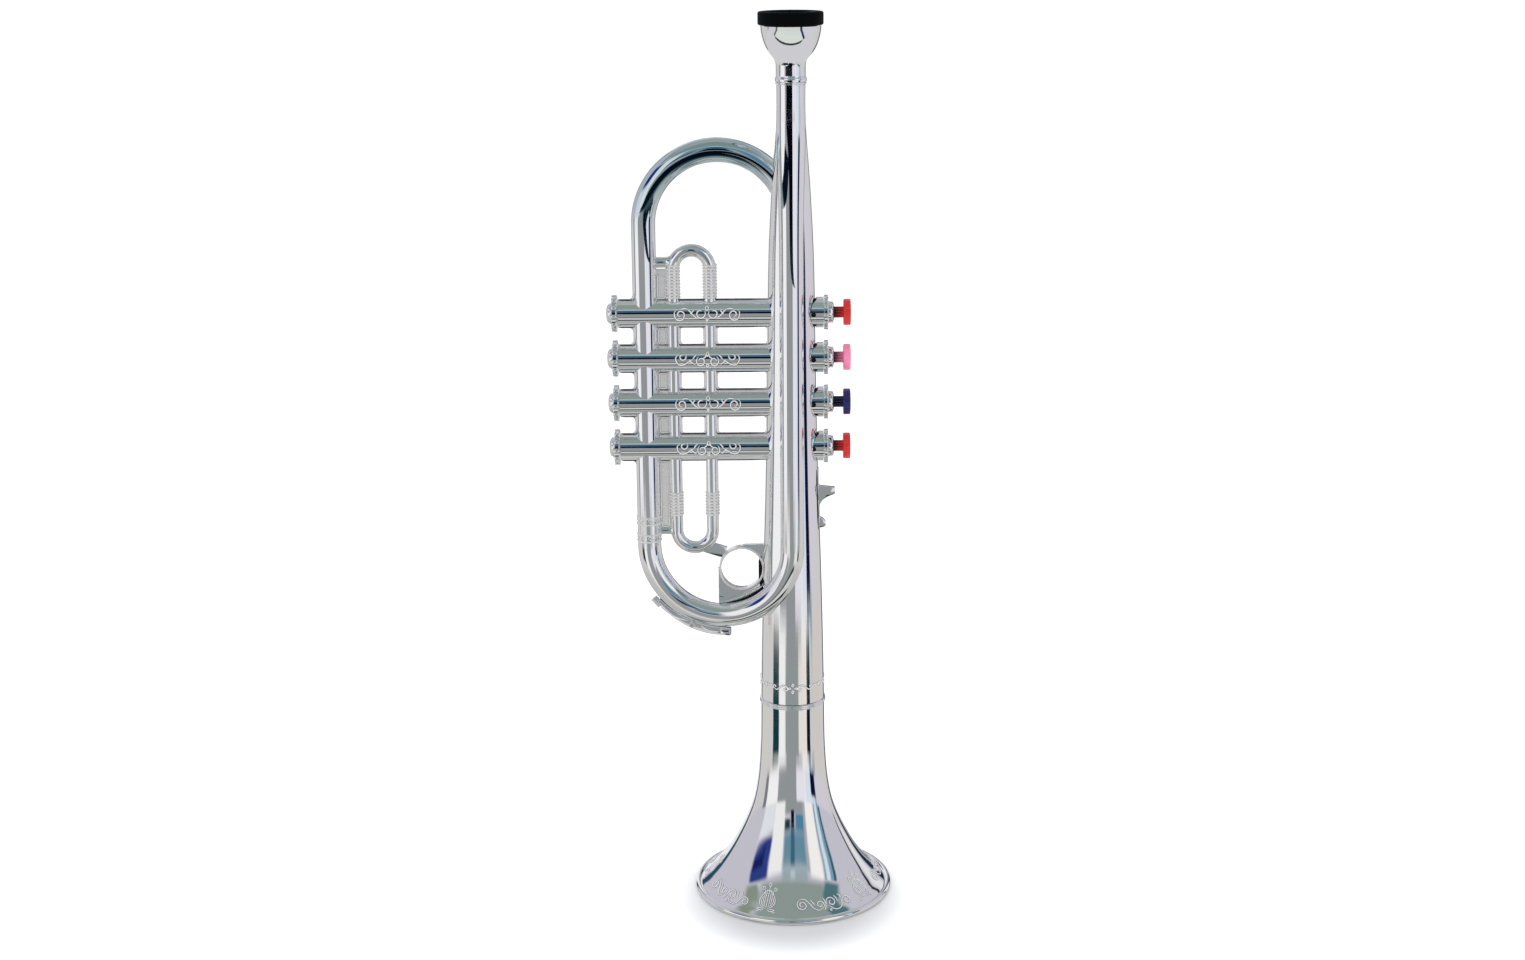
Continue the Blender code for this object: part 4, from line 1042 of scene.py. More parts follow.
@dataclass
class Casings:
    """The four valve casings with the flanged web that frames their windows, and their raised scrolls."""

    tube: BellTube
    loop: SmallLoop
    radius: float = 6.2 * MM
    left: float = 79.4 * MM
    right: float = 12.4 * MM
    proud: float = 0.45 * MM
    web: float = 1.6 * MM
    corner: float = 1.2 * MM
    scroll_x: float = -38.4 * MM
    scroll_width: float = 0.94
    tilt: float = math.radians(15)

    def build(self, bench: Bench) -> None:
        """Makes the casings, the web and the scrolls."""
        meshes = []
        for height in VALVE_HEIGHTS.values():
            ends = [(0, -self.left), (self.radius - 0.4 * MM, -self.left), (self.radius, -self.left + 0.4 * MM)]
            rows = [(self.radius, x) for x in np.linspace(-self.left + 2 * MM, -9 * MM, 12)]
            casing = lathe("casings", [*ends, *rows, (self.radius, -7 * MM), (0, -7 * MM)], 80)
            casing.transform(on_valve_axis(height))
            meshes.append(casing)
        bench.add(joined("casings", meshes), Coat.SEAMED)
        bench.add(plate("window_web", self._web(), self.web, 0.45 * MM), Coat.SATIN, sharp=50)
        bench.ornament("panel_frames", self._frames(), front_of(self.web), 0.62 * MM)
        bench.add(
            relief("casing_shade_lines", self._shade_lines(), front_of(self.web), 0.5 * MM, 0.12 * MM), Coat.PAINTED_SHADE,
            sharp=70,
        )
        bench.add(plate("outer_flanges", self._outer(), self.web, 0.45 * MM), Coat.PLATING, sharp=50)
        for number, height in VALVE_HEIGHTS.items():
            strokes = self._rising() if number % 2 else self._falling()
            bench.ornament(f"casing_scroll_{number}", strokes, self._skin(height), 0.68 * MM)

    @staticmethod
    def _arc(centre: Point2, radius: float, start: float, end: float, steps: int = 8) -> list[Point2]:
        """Points on an arc, by degrees."""
        turns = [math.radians(start + (end - start) * step / steps) for step in range(steps + 1)]
        return [(centre[0] + radius * math.cos(turn), centre[1] + radius * math.sin(turn)) for turn in turns]

    def _window(self, low: Point2, high: Point2, radius: float) -> list[Point2]:
        """Outline of a window with rounded corners."""
        corners = (
            (high[0] - radius, high[1] - radius), (low[0] + radius, high[1] - radius),
            (low[0] + radius, low[1] + radius), (high[0] - radius, low[1] + radius),
        )
        outline = []
        for index, corner in enumerate(corners):
            outline += self._arc(corner, radius, 90 * index, 90 * (index + 1))
        return outline

    def _web(self) -> list[list[Point2]]:
        """Outline of the web between the left leg and the bell tube, and of its windows."""
        edge = self.radius + self.proud
        heights = sorted(VALVE_HEIGHTS.values(), reverse=True)
        left, small_left = -self.loop.leg, -self.loop.offset - self.loop.bow
        low, high = heights[-1] - edge, heights[0] + edge
        right = -self.tube.radius(heights[1]) + 1 * MM
        outline = [
            (left, self.loop.low), (small_left, self.loop.low), (small_left, low), (right, low), (right, high),
            (small_left, high), (small_left, self.loop.high), (left, self.loop.high),
        ]
        inset = self.loop.radius + self.proud
        small_right = small_left + 2 * self.loop.bow
        outlines = [outline]
        for upper, lower in zip(heights, heights[1:]):
            beside = -self.tube.radius((upper + lower) / 2) - 0.15 * MM
            for start, end in ((small_left + inset, small_right - inset), (small_right + inset, beside)):
                outlines.append(self._window((start, lower + edge), (end, upper - edge), self.corner))
        return outlines

    def _shade_lines(self) -> list[list[Point2]]:
        """The dark lines in the corners between the casings and the web."""
        lines = []
        off = self.radius + 0.22 * MM
        for height in VALVE_HEIGHTS.values():
            for side in (-1, 1):
                for start, end in (
                    (-self.left + 0.5 * MM, -self.loop.leg - 5.2 * MM), (-self.loop.leg + 5.4 * MM, -10.5 * MM)
                ):
                    lines.append([(start + (end - start) * step / 4, height + side * off) for step in range(5)])
        return lines

    def _frames(self) -> list[list[Point2]]:
        """The raised frames of the five panels between the left leg and the small loop."""
        heights = sorted(VALVE_HEIGHTS.values(), reverse=True)
        edge = self.radius + self.proud
        left = -self.loop.leg + 5.5 * MM + 0.55 * MM
        right = -self.loop.offset - self.loop.bow - self.loop.radius - 0.55 * MM
        rows = [(heights[0] + edge, self.loop.high - 2.4 * MM)]
        rows += [(lower + edge, upper - edge) for upper, lower in zip(heights, heights[1:])]
        rows += [(self.loop.low + 1.9 * MM, heights[-1] - edge)]
        inset = 0.25 * MM
        frames = []
        for low, high in rows:
            outline = self._window((left, low + inset), (right, high - inset), 1.1 * MM)
            frames.append([*outline, outline[0]])
        return frames

    def _outer(self) -> list[list[Point2]]:
        """Outlines of the strips that run from the left leg to the caps, rounded into the leg."""
        edge = self.radius + self.proud
        leg_side = -self.loop.leg - 5.5 * MM
        end, turn = -self.left + 0.1 * MM, 2.0 * MM
        outlines = []
        for height in VALVE_HEIGHTS.values():
            inner = -self.loop.leg
            upper = self._arc((leg_side - turn, height + edge + turn), turn, -90, 0)
            lower = self._arc((leg_side - turn, height - edge - turn), turn, 0, 90)
            outlines.append(
                [
                    (end, height + edge), *upper, (inner, height + edge + turn), (inner, height - edge - turn), *lower,
                    (end, height - edge),
                ]
            )
        return outlines

    def _skin(self, height: float) -> Surface:
        """The casing's front as the viewer sees it: along the casing, and up from its middle."""

        def skin(u: float, v: float) -> tuple[Vector, Vector]:
            """A point of the casing's skin."""
            turn = self.tilt + math.asin(max(-0.98, min(0.98, v / self.radius)))
            normal = Vector((0, -math.cos(turn), math.sin(turn)))
            return Vector((self.scroll_x + self.scroll_width * u, 0, height)) + normal * self.radius, normal

        return skin

    def _rising(self) -> list[list[Point2]]:
        """The scroll of the first and third casings, open upwards."""
        half = [
            curl((13.0, -1.3), 55, -520, 3.1, 0.7),
            curl((3.2, -0.7), 150, 330, 2.55, 1.2),
            [(4.8, -2.7), (6.6, -1.6), (8.2, 0.2), (9.4, 1.3)],
            [(6.4, 0.9), (7.3, -0.2), (8.0, -1.0)],
            [(9.4, 1.3), (11.0, 1.5), (12.8, 1.2)],
        ]
        middle = [
            [(0.0, 2.9), (-0.8, 1.7), (0.0, 0.6), (0.8, 1.7), (0.0, 2.9)],
            [(0.0, -2.9), (-0.45, -3.5), (0.0, -4.1), (0.45, -3.5), (0.0, -2.9)],
        ]
        return in_mm([*flipped(half), *middle])

    def _falling(self) -> list[list[Point2]]:
        """The scroll of the second and fourth casings, open downwards."""
        half = [
            [(7.2, -0.9), (9.2, -2.1), (11.3, -3.2), (13.4, -3.5), (15.2, -2.1), (15.4, 0.0), (14.2, 1.0)],
            curl((12.2, 0.2), 150, 330, 1.9, 0.8),
            curl((3.2, -1.9), 60, -420, 2.4, 1.0),
            [(0.6, 1.6), (1.0, 0.2), (2.2, -0.6)],
            [(7.2, -0.9), (6.4, 0.2), (5.4, 1.2)],
            [(6.0, -3.3), (7.8, -2.4), (9.0, -1.1)],
        ]
        middle = [
            [(0.0, 2.4), (-0.7, 1.5), (0.0, 0.4), (0.7, 1.5), (0.0, 2.4)],
            [(0.0, -3.0), (-0.6, -3.8), (0.0, -4.4), (0.6, -3.8), (0.0, -3.0)],
        ]
        return in_mm([*flipped(half), *middle])


@dataclass
class FingerRing:
    """The flat plate with a round rim between the lower bow and the bell tube."""

    tube: BellTube
    height: float = 161.9 * MM
    hole: float = 9.7 * MM
    clearance: float = 0.2 * MM
    wall: float = 1.0 * MM
    depth: float = 5.0 * MM
    thickness: float = 2.4 * MM
    top: float = 11.5 * MM
    left: float = 11.1 * MM
    bow: float = 33.5 * MM
    bow_inside: float = 30.75 * MM
    bow_drop: float = 12.0 * MM
    strut_half: float = 2.8 * MM

    def build(self, bench: Bench) -> None:
        """Makes the plate with its hole, its rim and its strut."""
        offset = self.tube.radius(self.height) + self.hole + self.clearance
        left = -offset - self.left
        start = -math.acos((left + self.bow) / self.bow_inside)
        end = math.radians(-28)
        bow_centre = (-self.bow, self.height + self.bow_drop)
        curve = arc(bow_centre, self.bow_inside, start, end, 17)
        inside = -self.tube.radius(self.height) + 1 * MM
        top = self.height + self.top
        reach = self.hole + 0.7 * MM
        corner = [(-offset + 1.5 * MM, top)]
        corner += arc((-offset, self.height), reach, math.radians(100), math.pi, 16)
        outline = [*curve, (inside, curve[-1][1]), (inside, top), *corner, (left, self.height)]
        hole = arc((-offset, self.height), self.hole, 0, TURN, 73)[:-1]
        bench.add(plate("finger_plate", [outline, hole[::-1]], self.thickness, 0.3 * MM), Coat.PLATING, sharp=50)
        half, edge = self.depth / 2, 0.35 * MM
        outer = self.hole + self.wall
        ring = [
            (self.hole, -half + edge), (self.hole + edge, -half), (outer - edge, -half), (outer, -half + edge),
            (outer, half - edge), (outer - edge, half), (self.hole + edge, half), (self.hole, half - edge),
        ]
        flat = Matrix.Translation((-offset, 0, self.height)) @ Matrix.Rotation(TURN / 4, 4, "X")
        bench.add(lathe("finger_ring_rim", ring, 96), Coat.SATIN, place=flat)
        small_turn, ring_turn = math.radians(-64), math.radians(135)
        start_at = Vector(
            (
                -SmallLoop.offset + SmallLoop.bow * math.cos(small_turn),
                SmallLoop.low + SmallLoop.bow * math.sin(small_turn),
            )
        )
        end_at = Vector((-offset + outer * math.cos(ring_turn), self.height + outer * math.sin(ring_turn)))
        across = Vector((start_at.y - end_at.y, end_at.x - start_at.x)).normalized() * self.strut_half
        strut = [tuple(start_at - across), tuple(end_at - across), tuple(end_at + across), tuple(start_at + across)]
        bench.add(plate("ring_strut", [strut], self.thickness, 0.3 * MM), Coat.PLATING, sharp=50)
        shade = arc(bow_centre, self.bow_inside - 1.2 * MM, start + 0.06, end, 12)
        beside = [(inside - 1.9 * MM, self.height + high * MM) for high in (-9.0, -4.0, 1.0, 6.0)]
        dark = relief("ring_shade", [shade, beside], front_of(self.thickness), 2.2 * MM, 0.1 * MM)
        bench.add(dark, Coat.PAINTED_SHADE, sharp=70)


@dataclass
class Bell:
    """The flared bell with its rolled rim, joint bead, lyres and scrollwork."""

    height: float = 96.7 * MM
    rim: float = 47.7 * MM
    neck: float = 15.2 * MM
    lip_height: float = 3.0 * MM
    lip_width: float = 1.4 * MM
    wall: float = 1.5 * MM
    bead: float = 2.2 * MM
    bead_proud: float = 0.6 * MM
    sides: int = 192
    shares: tuple[Point2, ...] = (
        (1.000, 0.000), (0.870, 0.004), (0.745, 0.015), (0.579, 0.055), (0.455, 0.129), (0.352, 0.246),
        (0.269, 0.371), (0.196, 0.498), (0.134, 0.631), (0.083, 0.778), (0.045, 0.905), (0.026, 0.960),
    )
    flare: list[Point2] = field(default_factory=list)

    def __post_init__(self) -> None:
        """Works out the flare's smooth outline, from the neck down."""
        step = self.rim - self.lip_width - self.neck
        rough = [(self.neck + step * wide, self.height * high) for high, wide in self.shares]
        self.flare = [(radius, height) for radius, height in smoothed(rough, 90)]

    def build(self, bench: Bench) -> None:
        """Makes the bell and its ornament."""
        low, high = self.height - self.bead / 2, self.height + self.bead / 2
        inner = self._inside()
        spigot = self.neck - self.wall - 0.3 * MM
        half = self.lip_height / 2
        round_lip = arc((self.rim - half, half), half, 2.25, -TURN / 4, 19)
        beads = []
        for middle in (low + 0.62 * MM, high - 0.62 * MM):
            beads.append(arc((self.neck, middle), self.bead_proud, 1.45, -1.45, 9, 0.55 * MM))
        outline = [
            (spigot, high + 9 * MM), (spigot, high), (self.neck, high), *beads[1], *beads[0], (self.neck, low),
            *self.flare[1:], *round_lip, (self.rim - 3 * MM, 0), *inner, (spigot - 1.4 * MM, low - 4.5 * MM),
            (spigot - 1.4 * MM, high + 9 * MM),
        ]
        bench.add(lathe("bell_flare", outline, self.sides), Coat.PLATING, stands_for=("bell",), sharp=55)
        bench.ornament("bell_lyres", self._lyre(), self._skin(9.3 * MM, -18.8), 0.52 * MM, 5)
        bench.ornament("bell_scrolls", self._panel(), self._skin(6.6 * MM, 20.2), 0.62 * MM, 5)
        bench.ornament("joint_band", self._band(), self._column(106.4 * MM), 0.64 * MM, 4)

    def _inside(self) -> list[Point2]:
        """The flare's inner line, a wall's thickness nearer the axis, from the rim up."""
        found = []
        for index in range(2, len(self.flare) - 1, 2):
            before, after = self.flare[index - 1], self.flare[index + 1]
            run = Vector((after[0] - before[0], after[1] - before[1])).normalized()
            radius, height = self.flare[index]
            found.append((radius + run.y * self.wall, height - run.x * self.wall))
        return [(radius, max(height, 0.4 * MM)) for radius, height in reversed(found) if radius < self.rim - 3.2 * MM]

    def _skin(self, centre: float, turn: float) -> Surface:
        """The flare round a point of it: length along the rim, and length up the flare.

        Args:
            centre: the height of the ornament's middle.
            turn: where it is, in degrees to the right of the front.

        Returns:
            The surface.
        """
        line = np.array(list(reversed(self.flare)))
        lengths = np.concatenate([[0], np.cumsum(np.linalg.norm(np.diff(line, axis=0), axis=1))])
        start = float(np.interp(centre, line[:, 1], lengths))
        middle = float(np.interp(start, lengths, line[:, 0]))
        front = math.radians(turn) - TURN / 4

        def skin(u: float, v: float) -> tuple[Vector, Vector]:
            """A point of the flare."""
            spot = start + v
            radius, height = float(np.interp(spot, lengths, line[:, 0])), float(np.interp(spot, lengths, line[:, 1]))
            ahead = np.array(
                [np.interp(spot + 0.3 * MM, lengths, line[:, 0]), np.interp(spot + 0.3 * MM, lengths, line[:, 1])]
            )
            run = Vector((ahead[0] - radius, ahead[1] - height)).normalized()
            angle = front + u / middle
            out = Vector((math.cos(angle), math.sin(angle), 0))
            normal = (out * run.y - Vector((0, 0, run.x))).normalized()
            return out * radius + Vector((0, 0, height)), normal

        return skin

    def _column(self, centre: float) -> Surface:
        """The bell tube's foot: length round it, and height from the band's middle."""

        def skin(u: float, v: float) -> tuple[Vector, Vector]:
            """A point of the bell tube's foot."""
            radius = self.neck * (1 - 0.02 * (centre + v - 98 * MM) / (17 * MM))
            angle = u / radius - TURN / 4
            normal = Vector((math.cos(angle), math.sin(angle), 0))
            return normal * radius + Vector((0, 0, centre + v)), normal

        return skin

    @staticmethod
    def _lyre() -> list[list[Point2]]:
        """A lyre of raised lines."""
        half = [
            [(0.9, -5.6), (3.6, -4.3), (4.6, -1.8), (3.7, 0.6), (2.6, 2.3), (2.9, 4.2)],
            curl((3.9, 3.9), 190, -400, 1.15, 0.4),
            [(0.7, -4.9), (2.9, -3.6), (3.6, -1.7), (2.9, 0.2)],
            [(1.2, -4.4), (1.4, -1.0), (1.3, 4.0)],
            [(2.3, -3.6), (2.4, -1.0), (2.2, 2.4)],
            [(0.8, -6.4), (2.6, -6.9), (4.9, -6.3), (3.2, -5.9), (1.2, -5.9)],
            [(3.4, -6.9), (4.6, -7.5), (5.6, -7.2)],
        ]
        middle = [
            [(0, -5.4), (0, 0.0), (0, 5.2)], [(0, 7.6), (-0.7, 6.2), (0, 5.0), (0.7, 6.2), (0, 7.6)],
            [(-2.5, 2.6), (0, 3.3), (2.5, 2.6)],
        ]
        return in_mm([*flipped(half), *middle], wide=0.80)

    @staticmethod
    def _panel() -> list[list[Point2]]:
        """Running scrollwork of raised lines."""
        strokes = [
            curl((-10.6, -0.4), 120, 560, 2.7, 0.6),
            [(-12.1, 2.0), (-9.6, 2.6), (-7.0, 0.6), (-5.2, -2.0), (-3.0, -2.9), (-1.0, -1.8)],
            curl((-1.9, 0.0), 290, 470, 2.1, 0.6),
            [(-6.4, 2.4), (-5.4, 0.9), (-4.4, -0.6)],
            [(0.2, 3.2), (0.9, 1.2), (0.6, -1.2), (-0.4, -3.1)],
            curl((3.9, 0.9), 200, -480, 2.6, 0.7),
            [(2.1, -0.9), (4.6, -2.9), (7.4, -2.6), (9.0, -0.6), (9.6, 2.2)],
            curl((12.2, 0.6), 200, -520, 2.4, 0.6),
            [(9.6, 2.2), (9.2, 3.6), (8.4, 4.4)],
            curl((2.6, -3.1), 0, 360, 0.4, 0.35),
            [(6.2, 3.9), (7.0, 2.4), (7.2, 0.6)],
        ]
        return in_mm(strokes, slant=-0.09)

    @staticmethod
    def _band() -> list[list[Point2]]:
        """A four-petalled flower between S-shaped scrolls."""
        petals = []
        for turn in (0, 90, 180, 270):
            way = math.radians(turn + 90)
            out, side = Vector((math.cos(way), math.sin(way))), Vector((-math.sin(way), math.cos(way)))
            petals.append(
                [
                    tuple(out * 0.7), tuple(out * 1.5 + side * 0.45), tuple(out * 2.4), tuple(out * 1.5 - side * 0.45),
                    tuple(out * 0.7),
                ]
            )
        half = [
            [(2.2, 0.2), (3.4, 1.3), (5.2, 1.2), (6.6, 0.0), (8.0, -0.9), (9.4, -0.4)],
            curl((3.5, -0.3), 100, 340, 1.2, 0.4),
            curl((8.9, 0.5), 270, 330, 1.0, 0.35),
            [(10.3, 0.2), (11.0, 0.9), (11.9, 0.2)],
        ]
        return in_mm([*flipped(half), *petals])


@dataclass
class Mouthpiece:
    """The plated cup with its shank, and the satin black rim."""

    forward: float = 11.5 * MM
    base: float = 389.5 * MM
    cup: float = 24.0 * MM
    mouth: float = 13.6 * MM
    shank: float = 4.69 * MM
    throat: float = 1.9 * MM
    wall: float = 1.8 * MM
    rim: float = 14.5 * MM
    rim_height: float = 5.8 * MM
    rim_hole: float = 8.6 * MM
    outer: tuple[Point2, ...] = (
        (1.00, 1.000), (0.90, 0.980), (0.79, 0.940), (0.66, 0.865), (0.55, 0.765), (0.46, 0.635), (0.40, 0.545),
        (0.345, 0.512),
    )
    inner: tuple[Point2, ...] = (
        (0.36, 0.140), (0.43, 0.220), (0.52, 0.430), (0.64, 0.660), (0.78, 0.800), (0.85, 0.868)
    )

    def build(self, bench: Bench) -> None:
        """Makes the cup and the rim."""
        outside = [(self.mouth * wide, self.cup * high) for high, wide in smoothed(self.outer, 40)]
        steps = (
            (0.496, 0.310), (0.492, 0.285), (0.492, 0.27), (0.492, 0.110), (0.492, 0.105), (0.493, 0.09),
            (0.500, 0.075), (0.522, 0.062), (0.524, 0.03), (0.518, 0),
        )
        neck = [(self.mouth * wide, self.cup * high) for wide, high in steps]
        inside = [(self.mouth * wide, self.cup * high) for high, wide in smoothed(self.inner, 30)]
        bore = self.mouth - self.wall
        outline = [
            *outside, *neck, (self.shank, 0), (self.shank, -16 * MM), (self.shank - 1.8 * MM, -16 * MM),
            (self.throat, 0), *inside,
            (bore, self.cup - 0.3 * MM), (bore + 0.3 * MM, self.cup),
        ]
        place = Matrix.Translation((0, -self.forward, self.base))
        bench.add(
            lathe("mouthpiece_cup_shell", outline, 128), Coat.PLATING, stands_for=("mouthpiece_cup",), place=place,
            sharp=50,
        )
        edge, tongue = 0.8 * MM, bore - 0.3 * MM
        outer = arc((self.rim - edge, self.rim_height - edge), edge, TURN / 4, 0, 6)
        outer += arc((self.rim - edge, edge), edge, 0, -TURN / 4, 6)
        wide, deep = 2.4 * MM, 2.2 * MM
        lips = arc((self.rim_hole + wide, self.rim_height - deep), -wide, 0, TURN / 4, 9, deep)
        rim = [
            *outer, (tongue, 0), (tongue, -2.4 * MM), (tongue - 0.6 * MM, -3 * MM), (self.rim_hole + 0.5 * MM, -3 * MM),
            (self.rim_hole, -2.4 * MM), *lips,
        ]
        place = Matrix.Translation((0, -self.forward, self.base + self.cup + 0.3 * MM))
        bench.add(
            lathe("mouthpiece_lip_rim", rim, 128), Coat.RIM, stands_for=("mouthpiece_rim",), place=place, sharp=50
        )


@dataclass
class Valve:
    """What sits at the two ends of one casing: bottom cap, head sleeve, top cap and push button."""

    number: int
    tube: BellTube
    casing_left: float = 79.4 * MM
    cap_radius: float = 8.55 * MM
    cap_thickness: float = 2.4 * MM
    dome_radius: float = 4.9 * MM
    dome_height: float = 2.6 * MM
    sleeve_radius: float = 7.0 * MM
    sleeve_end: float = 14.7 * MM
    top_radius: float = 8.1 * MM
    top_thickness: float = 1.9 * MM
    nose_radius: float = 4.95 * MM
    nose_height: float = 2.7 * MM
    stem_hole: float = 3.0 * MM
    button_reach: float = 27.4 * MM
    button_radius: float = 6.0 * MM
    button_thickness: float = 3.5 * MM
    stem_width: float = 5.1 * MM
    lobes: int = 12
    slit: float = 0.8 * MM
    seat_gap: float = 0.05 * MM
    stem_foot: float = 16.0 * MM
    # The black core of painted shade inside the sleeve: its radius and its span along the axis.
    shade_core_radius: float = 6.3 * MM
    shade_core_span: Point2 = (6.0 * MM, 12.2 * MM)
    sound_hole: float = 1.15 * MM

    def build(self, bench: Bench) -> None:
        """Makes this valve's caps, sleeve and button on its axis."""
        place = on_valve_axis(VALVE_HEIGHTS[self.number])
        self._bottom_cap(bench, place)
        self._sleeve(bench, place)
        self._top_cap(bench, place)
        self._button(bench, place)

    def _lobe(self, name: str, radius: float, thickness: float, reach: float) -> bpy.types.Mesh:
        """One rounded lug on a cap's edge, along the valve's axis."""
        lug = lathe(
            name,
            [
                (0, 0), (reach * 0.8, 0), (reach, 0.25 * MM), (reach, thickness - 0.25 * MM), (reach * 0.8, thickness),
                (0, thickness),
            ],
            20,
        )
        lug.transform(Matrix.Translation((radius, 0, 0)))
        return lug

    def _bottom_cap(self, bench: Bench, place: Matrix) -> None:
        """The beaded cap with its domed end, on the casing's left end."""
        far = -self.casing_left - 0.3 * MM
        flange = far - self.cap_thickness
        body = self.cap_radius - 0.55 * MM
        dome = [
            (self.dome_radius * math.cos(turn) ** 0.6, flange - self.dome_height * math.sin(turn))
            for turn in np.linspace(0, TURN / 4 - 0.02, 14)
        ]
        outline = [
            (0, far + 4 * MM), (4.5 * MM, far + 4 * MM), (4.5 * MM, far), (body - 0.3 * MM, far),
            (body, far - 0.3 * MM), (body, flange + 0.4 * MM),
            (body - 0.4 * MM, flange), (self.dome_radius + 0.9 * MM, flange),
            (self.dome_radius + 0.4 * MM, flange + 0.25 * MM), *dome, (0, flange - self.dome_height),
        ]

        def slots(radius: float, height: float, turn: float) -> float:
            """Six short slots in the dome's shoulder."""
            on_shoulder = radius < self.dome_radius + 0.1 * MM and height < flange
            deep = math.exp(-(((height - flange + 1.1 * MM) / (0.55 * MM)) ** 2)) if on_shoulder else 0
            return radius - 0.55 * MM * deep * max(0, math.cos(6 * turn)) ** 6

        cap = lathe(f"bottom_cap_{self.number}_plated", outline, 96, slots)
        beads = bench.around(
            self._lobe("bead", body - 0.4 * MM, self.cap_thickness, 0.95 * MM), self.lobes, Coat.PLATING
        )
        beads.transform(Matrix.Translation((0, 0, flange)))
        whole = joined(f"bottom_cap_{self.number}_plated", [cap, beads])
        bench.add(whole, Coat.PLATING, stands_for=(f"bottom_cap_{self.number}",), place=place, sharp=42)

    def _sleeve(self, bench: Bench, place: Matrix) -> None:
        """The sleeve beside the bell tube, cut to its curve, with its sound hole and a black core of painted shade
        inside it.
        """
        height = VALVE_HEIGHTS[self.number]
        wide = self.tube.radius(height)
        sides, rows = 96, 10
        lean = 0.02 if self.number == 1 else 0.0
        points, faces = [], []
        for radius in (self.sleeve_radius, 6.5 * MM):
            for row in range(rows + 1):
                for side in range(sides):
                    turn = TURN * side / sides
                    y = radius * math.sin(turn)
                    off = abs(math.cos(turn))
                    opening = min(1, max(0, (off - 0.72) / 0.14))
                    closing = min(1, max(0, (1.02 - off) / 0.05))
                    gap = self.seat_gap + self.slit * opening * closing
                    start = math.sqrt(max((wide + gap) ** 2 - (y + lean * 11.5 * MM) ** 2, (4 * MM) ** 2))
                    share = row / rows
                    points.append((radius * math.cos(turn), y, start + (self.sleeve_end - start) * share))
        layer = (rows + 1) * sides
        for skin in (0, 1):
            for row in range(rows):
                for side in range(sides):
                    a, b = skin * layer + row * sides + side, skin * layer + row * sides + (side + 1) % sides
                    faces.append((a, b, b + sides, a + sides))
        for side in range(sides):
            a, b = side, (side + 1) % sides
            faces.append((a, b, layer + b, layer + a))
            faces.append((rows * sides + a, rows * sides + b, layer + rows * sides + b, layer + rows * sides + a))
        sleeve = mesh_of(f"head_sleeve_{self.number}_plated", points, faces)
        drill = lathe("drill", [(0, -1 * MM), (self.sound_hole, -1 * MM), (self.sound_hole, 3 * MM), (0, 3 * MM)], 40)
        drill.transform(Matrix.Translation((0, -self.sleeve_radius, 10.1 * MM)) @ Matrix.Rotation(TURN / 4, 4, "X"))
        bench.add(
            drilled(sleeve, drill), Coat.PLATING, stands_for=(f"head_sleeve_{self.number}",), place=place, sharp=32
        )
        # Painted shade: a black core inside the sleeve shows through the slit by the bell tube as a dark gap.
        low, high = self.shade_core_span
        dark = [(0, low), (self.shade_core_radius, low), (self.shade_core_radius, high), (0, high)]
        shade_core = lathe(f"sleeve_shade_core_{self.number}", dark, 48)
        bench.add(shade_core, Coat.PAINTED_SHADE, place=place)

    def _top_cap(self, bench: Bench, place: Matrix) -> None:
        """The beaded collar with its nose."""
        near = self.sleeve_end + 0.3 * MM
        flange = near + self.top_thickness
        nose = flange + self.nose_height
        body = self.top_radius - 0.55 * MM
        shoulder = [
            (
                self.stem_hole + (self.nose_radius - self.stem_hole) * math.cos(turn) ** 0.7,
                flange + self.nose_height * math.sin(turn),
            )
            for turn in np.linspace(TURN / 4 - 0.03, 0, 12)
        ]
        outline = [
            (self.stem_hole, nose), *shoulder, (self.nose_radius + 0.3 * MM, flange), (body - 0.4 * MM, flange),
            (body, flange - 0.4 * MM), (body, near + 0.3 * MM),
            (body - 0.3 * MM, near), (4.5 * MM, near), (4.5 * MM, near - 1.5 * MM), (self.stem_hole, near - 1.5 * MM),
        ]
        cap = lathe(f"top_cap_{self.number}_plated", outline, 96)
        beads = bench.around(
            self._lobe("bead", body - 0.4 * MM, self.top_thickness, 0.95 * MM), self.lobes, Coat.PLATING
        )
        beads.transform(Matrix.Translation((0, 0, near)))
        knob = lathe(
            "knob",
            [(0, 0.45 * MM), (0.3 * MM, 0.40 * MM), (0.52 * MM, 0.2 * MM), (0.6 * MM, -0.3 * MM), (0, -0.3 * MM)], 16,
        )
        knob.transform(
            Matrix.Translation((4.45 * MM, 0, flange + 1.9 * MM)) @ Matrix.Rotation(math.radians(48), 4, "Y")
        )
        knobs = bench.around(knob, 6, Coat.PLATING)
        whole = joined(f"top_cap_{self.number}_plated", [cap, beads, knobs])
        bench.add(whole, Coat.PLATING, stands_for=(f"top_cap_{self.number}",), place=place, sharp=42)

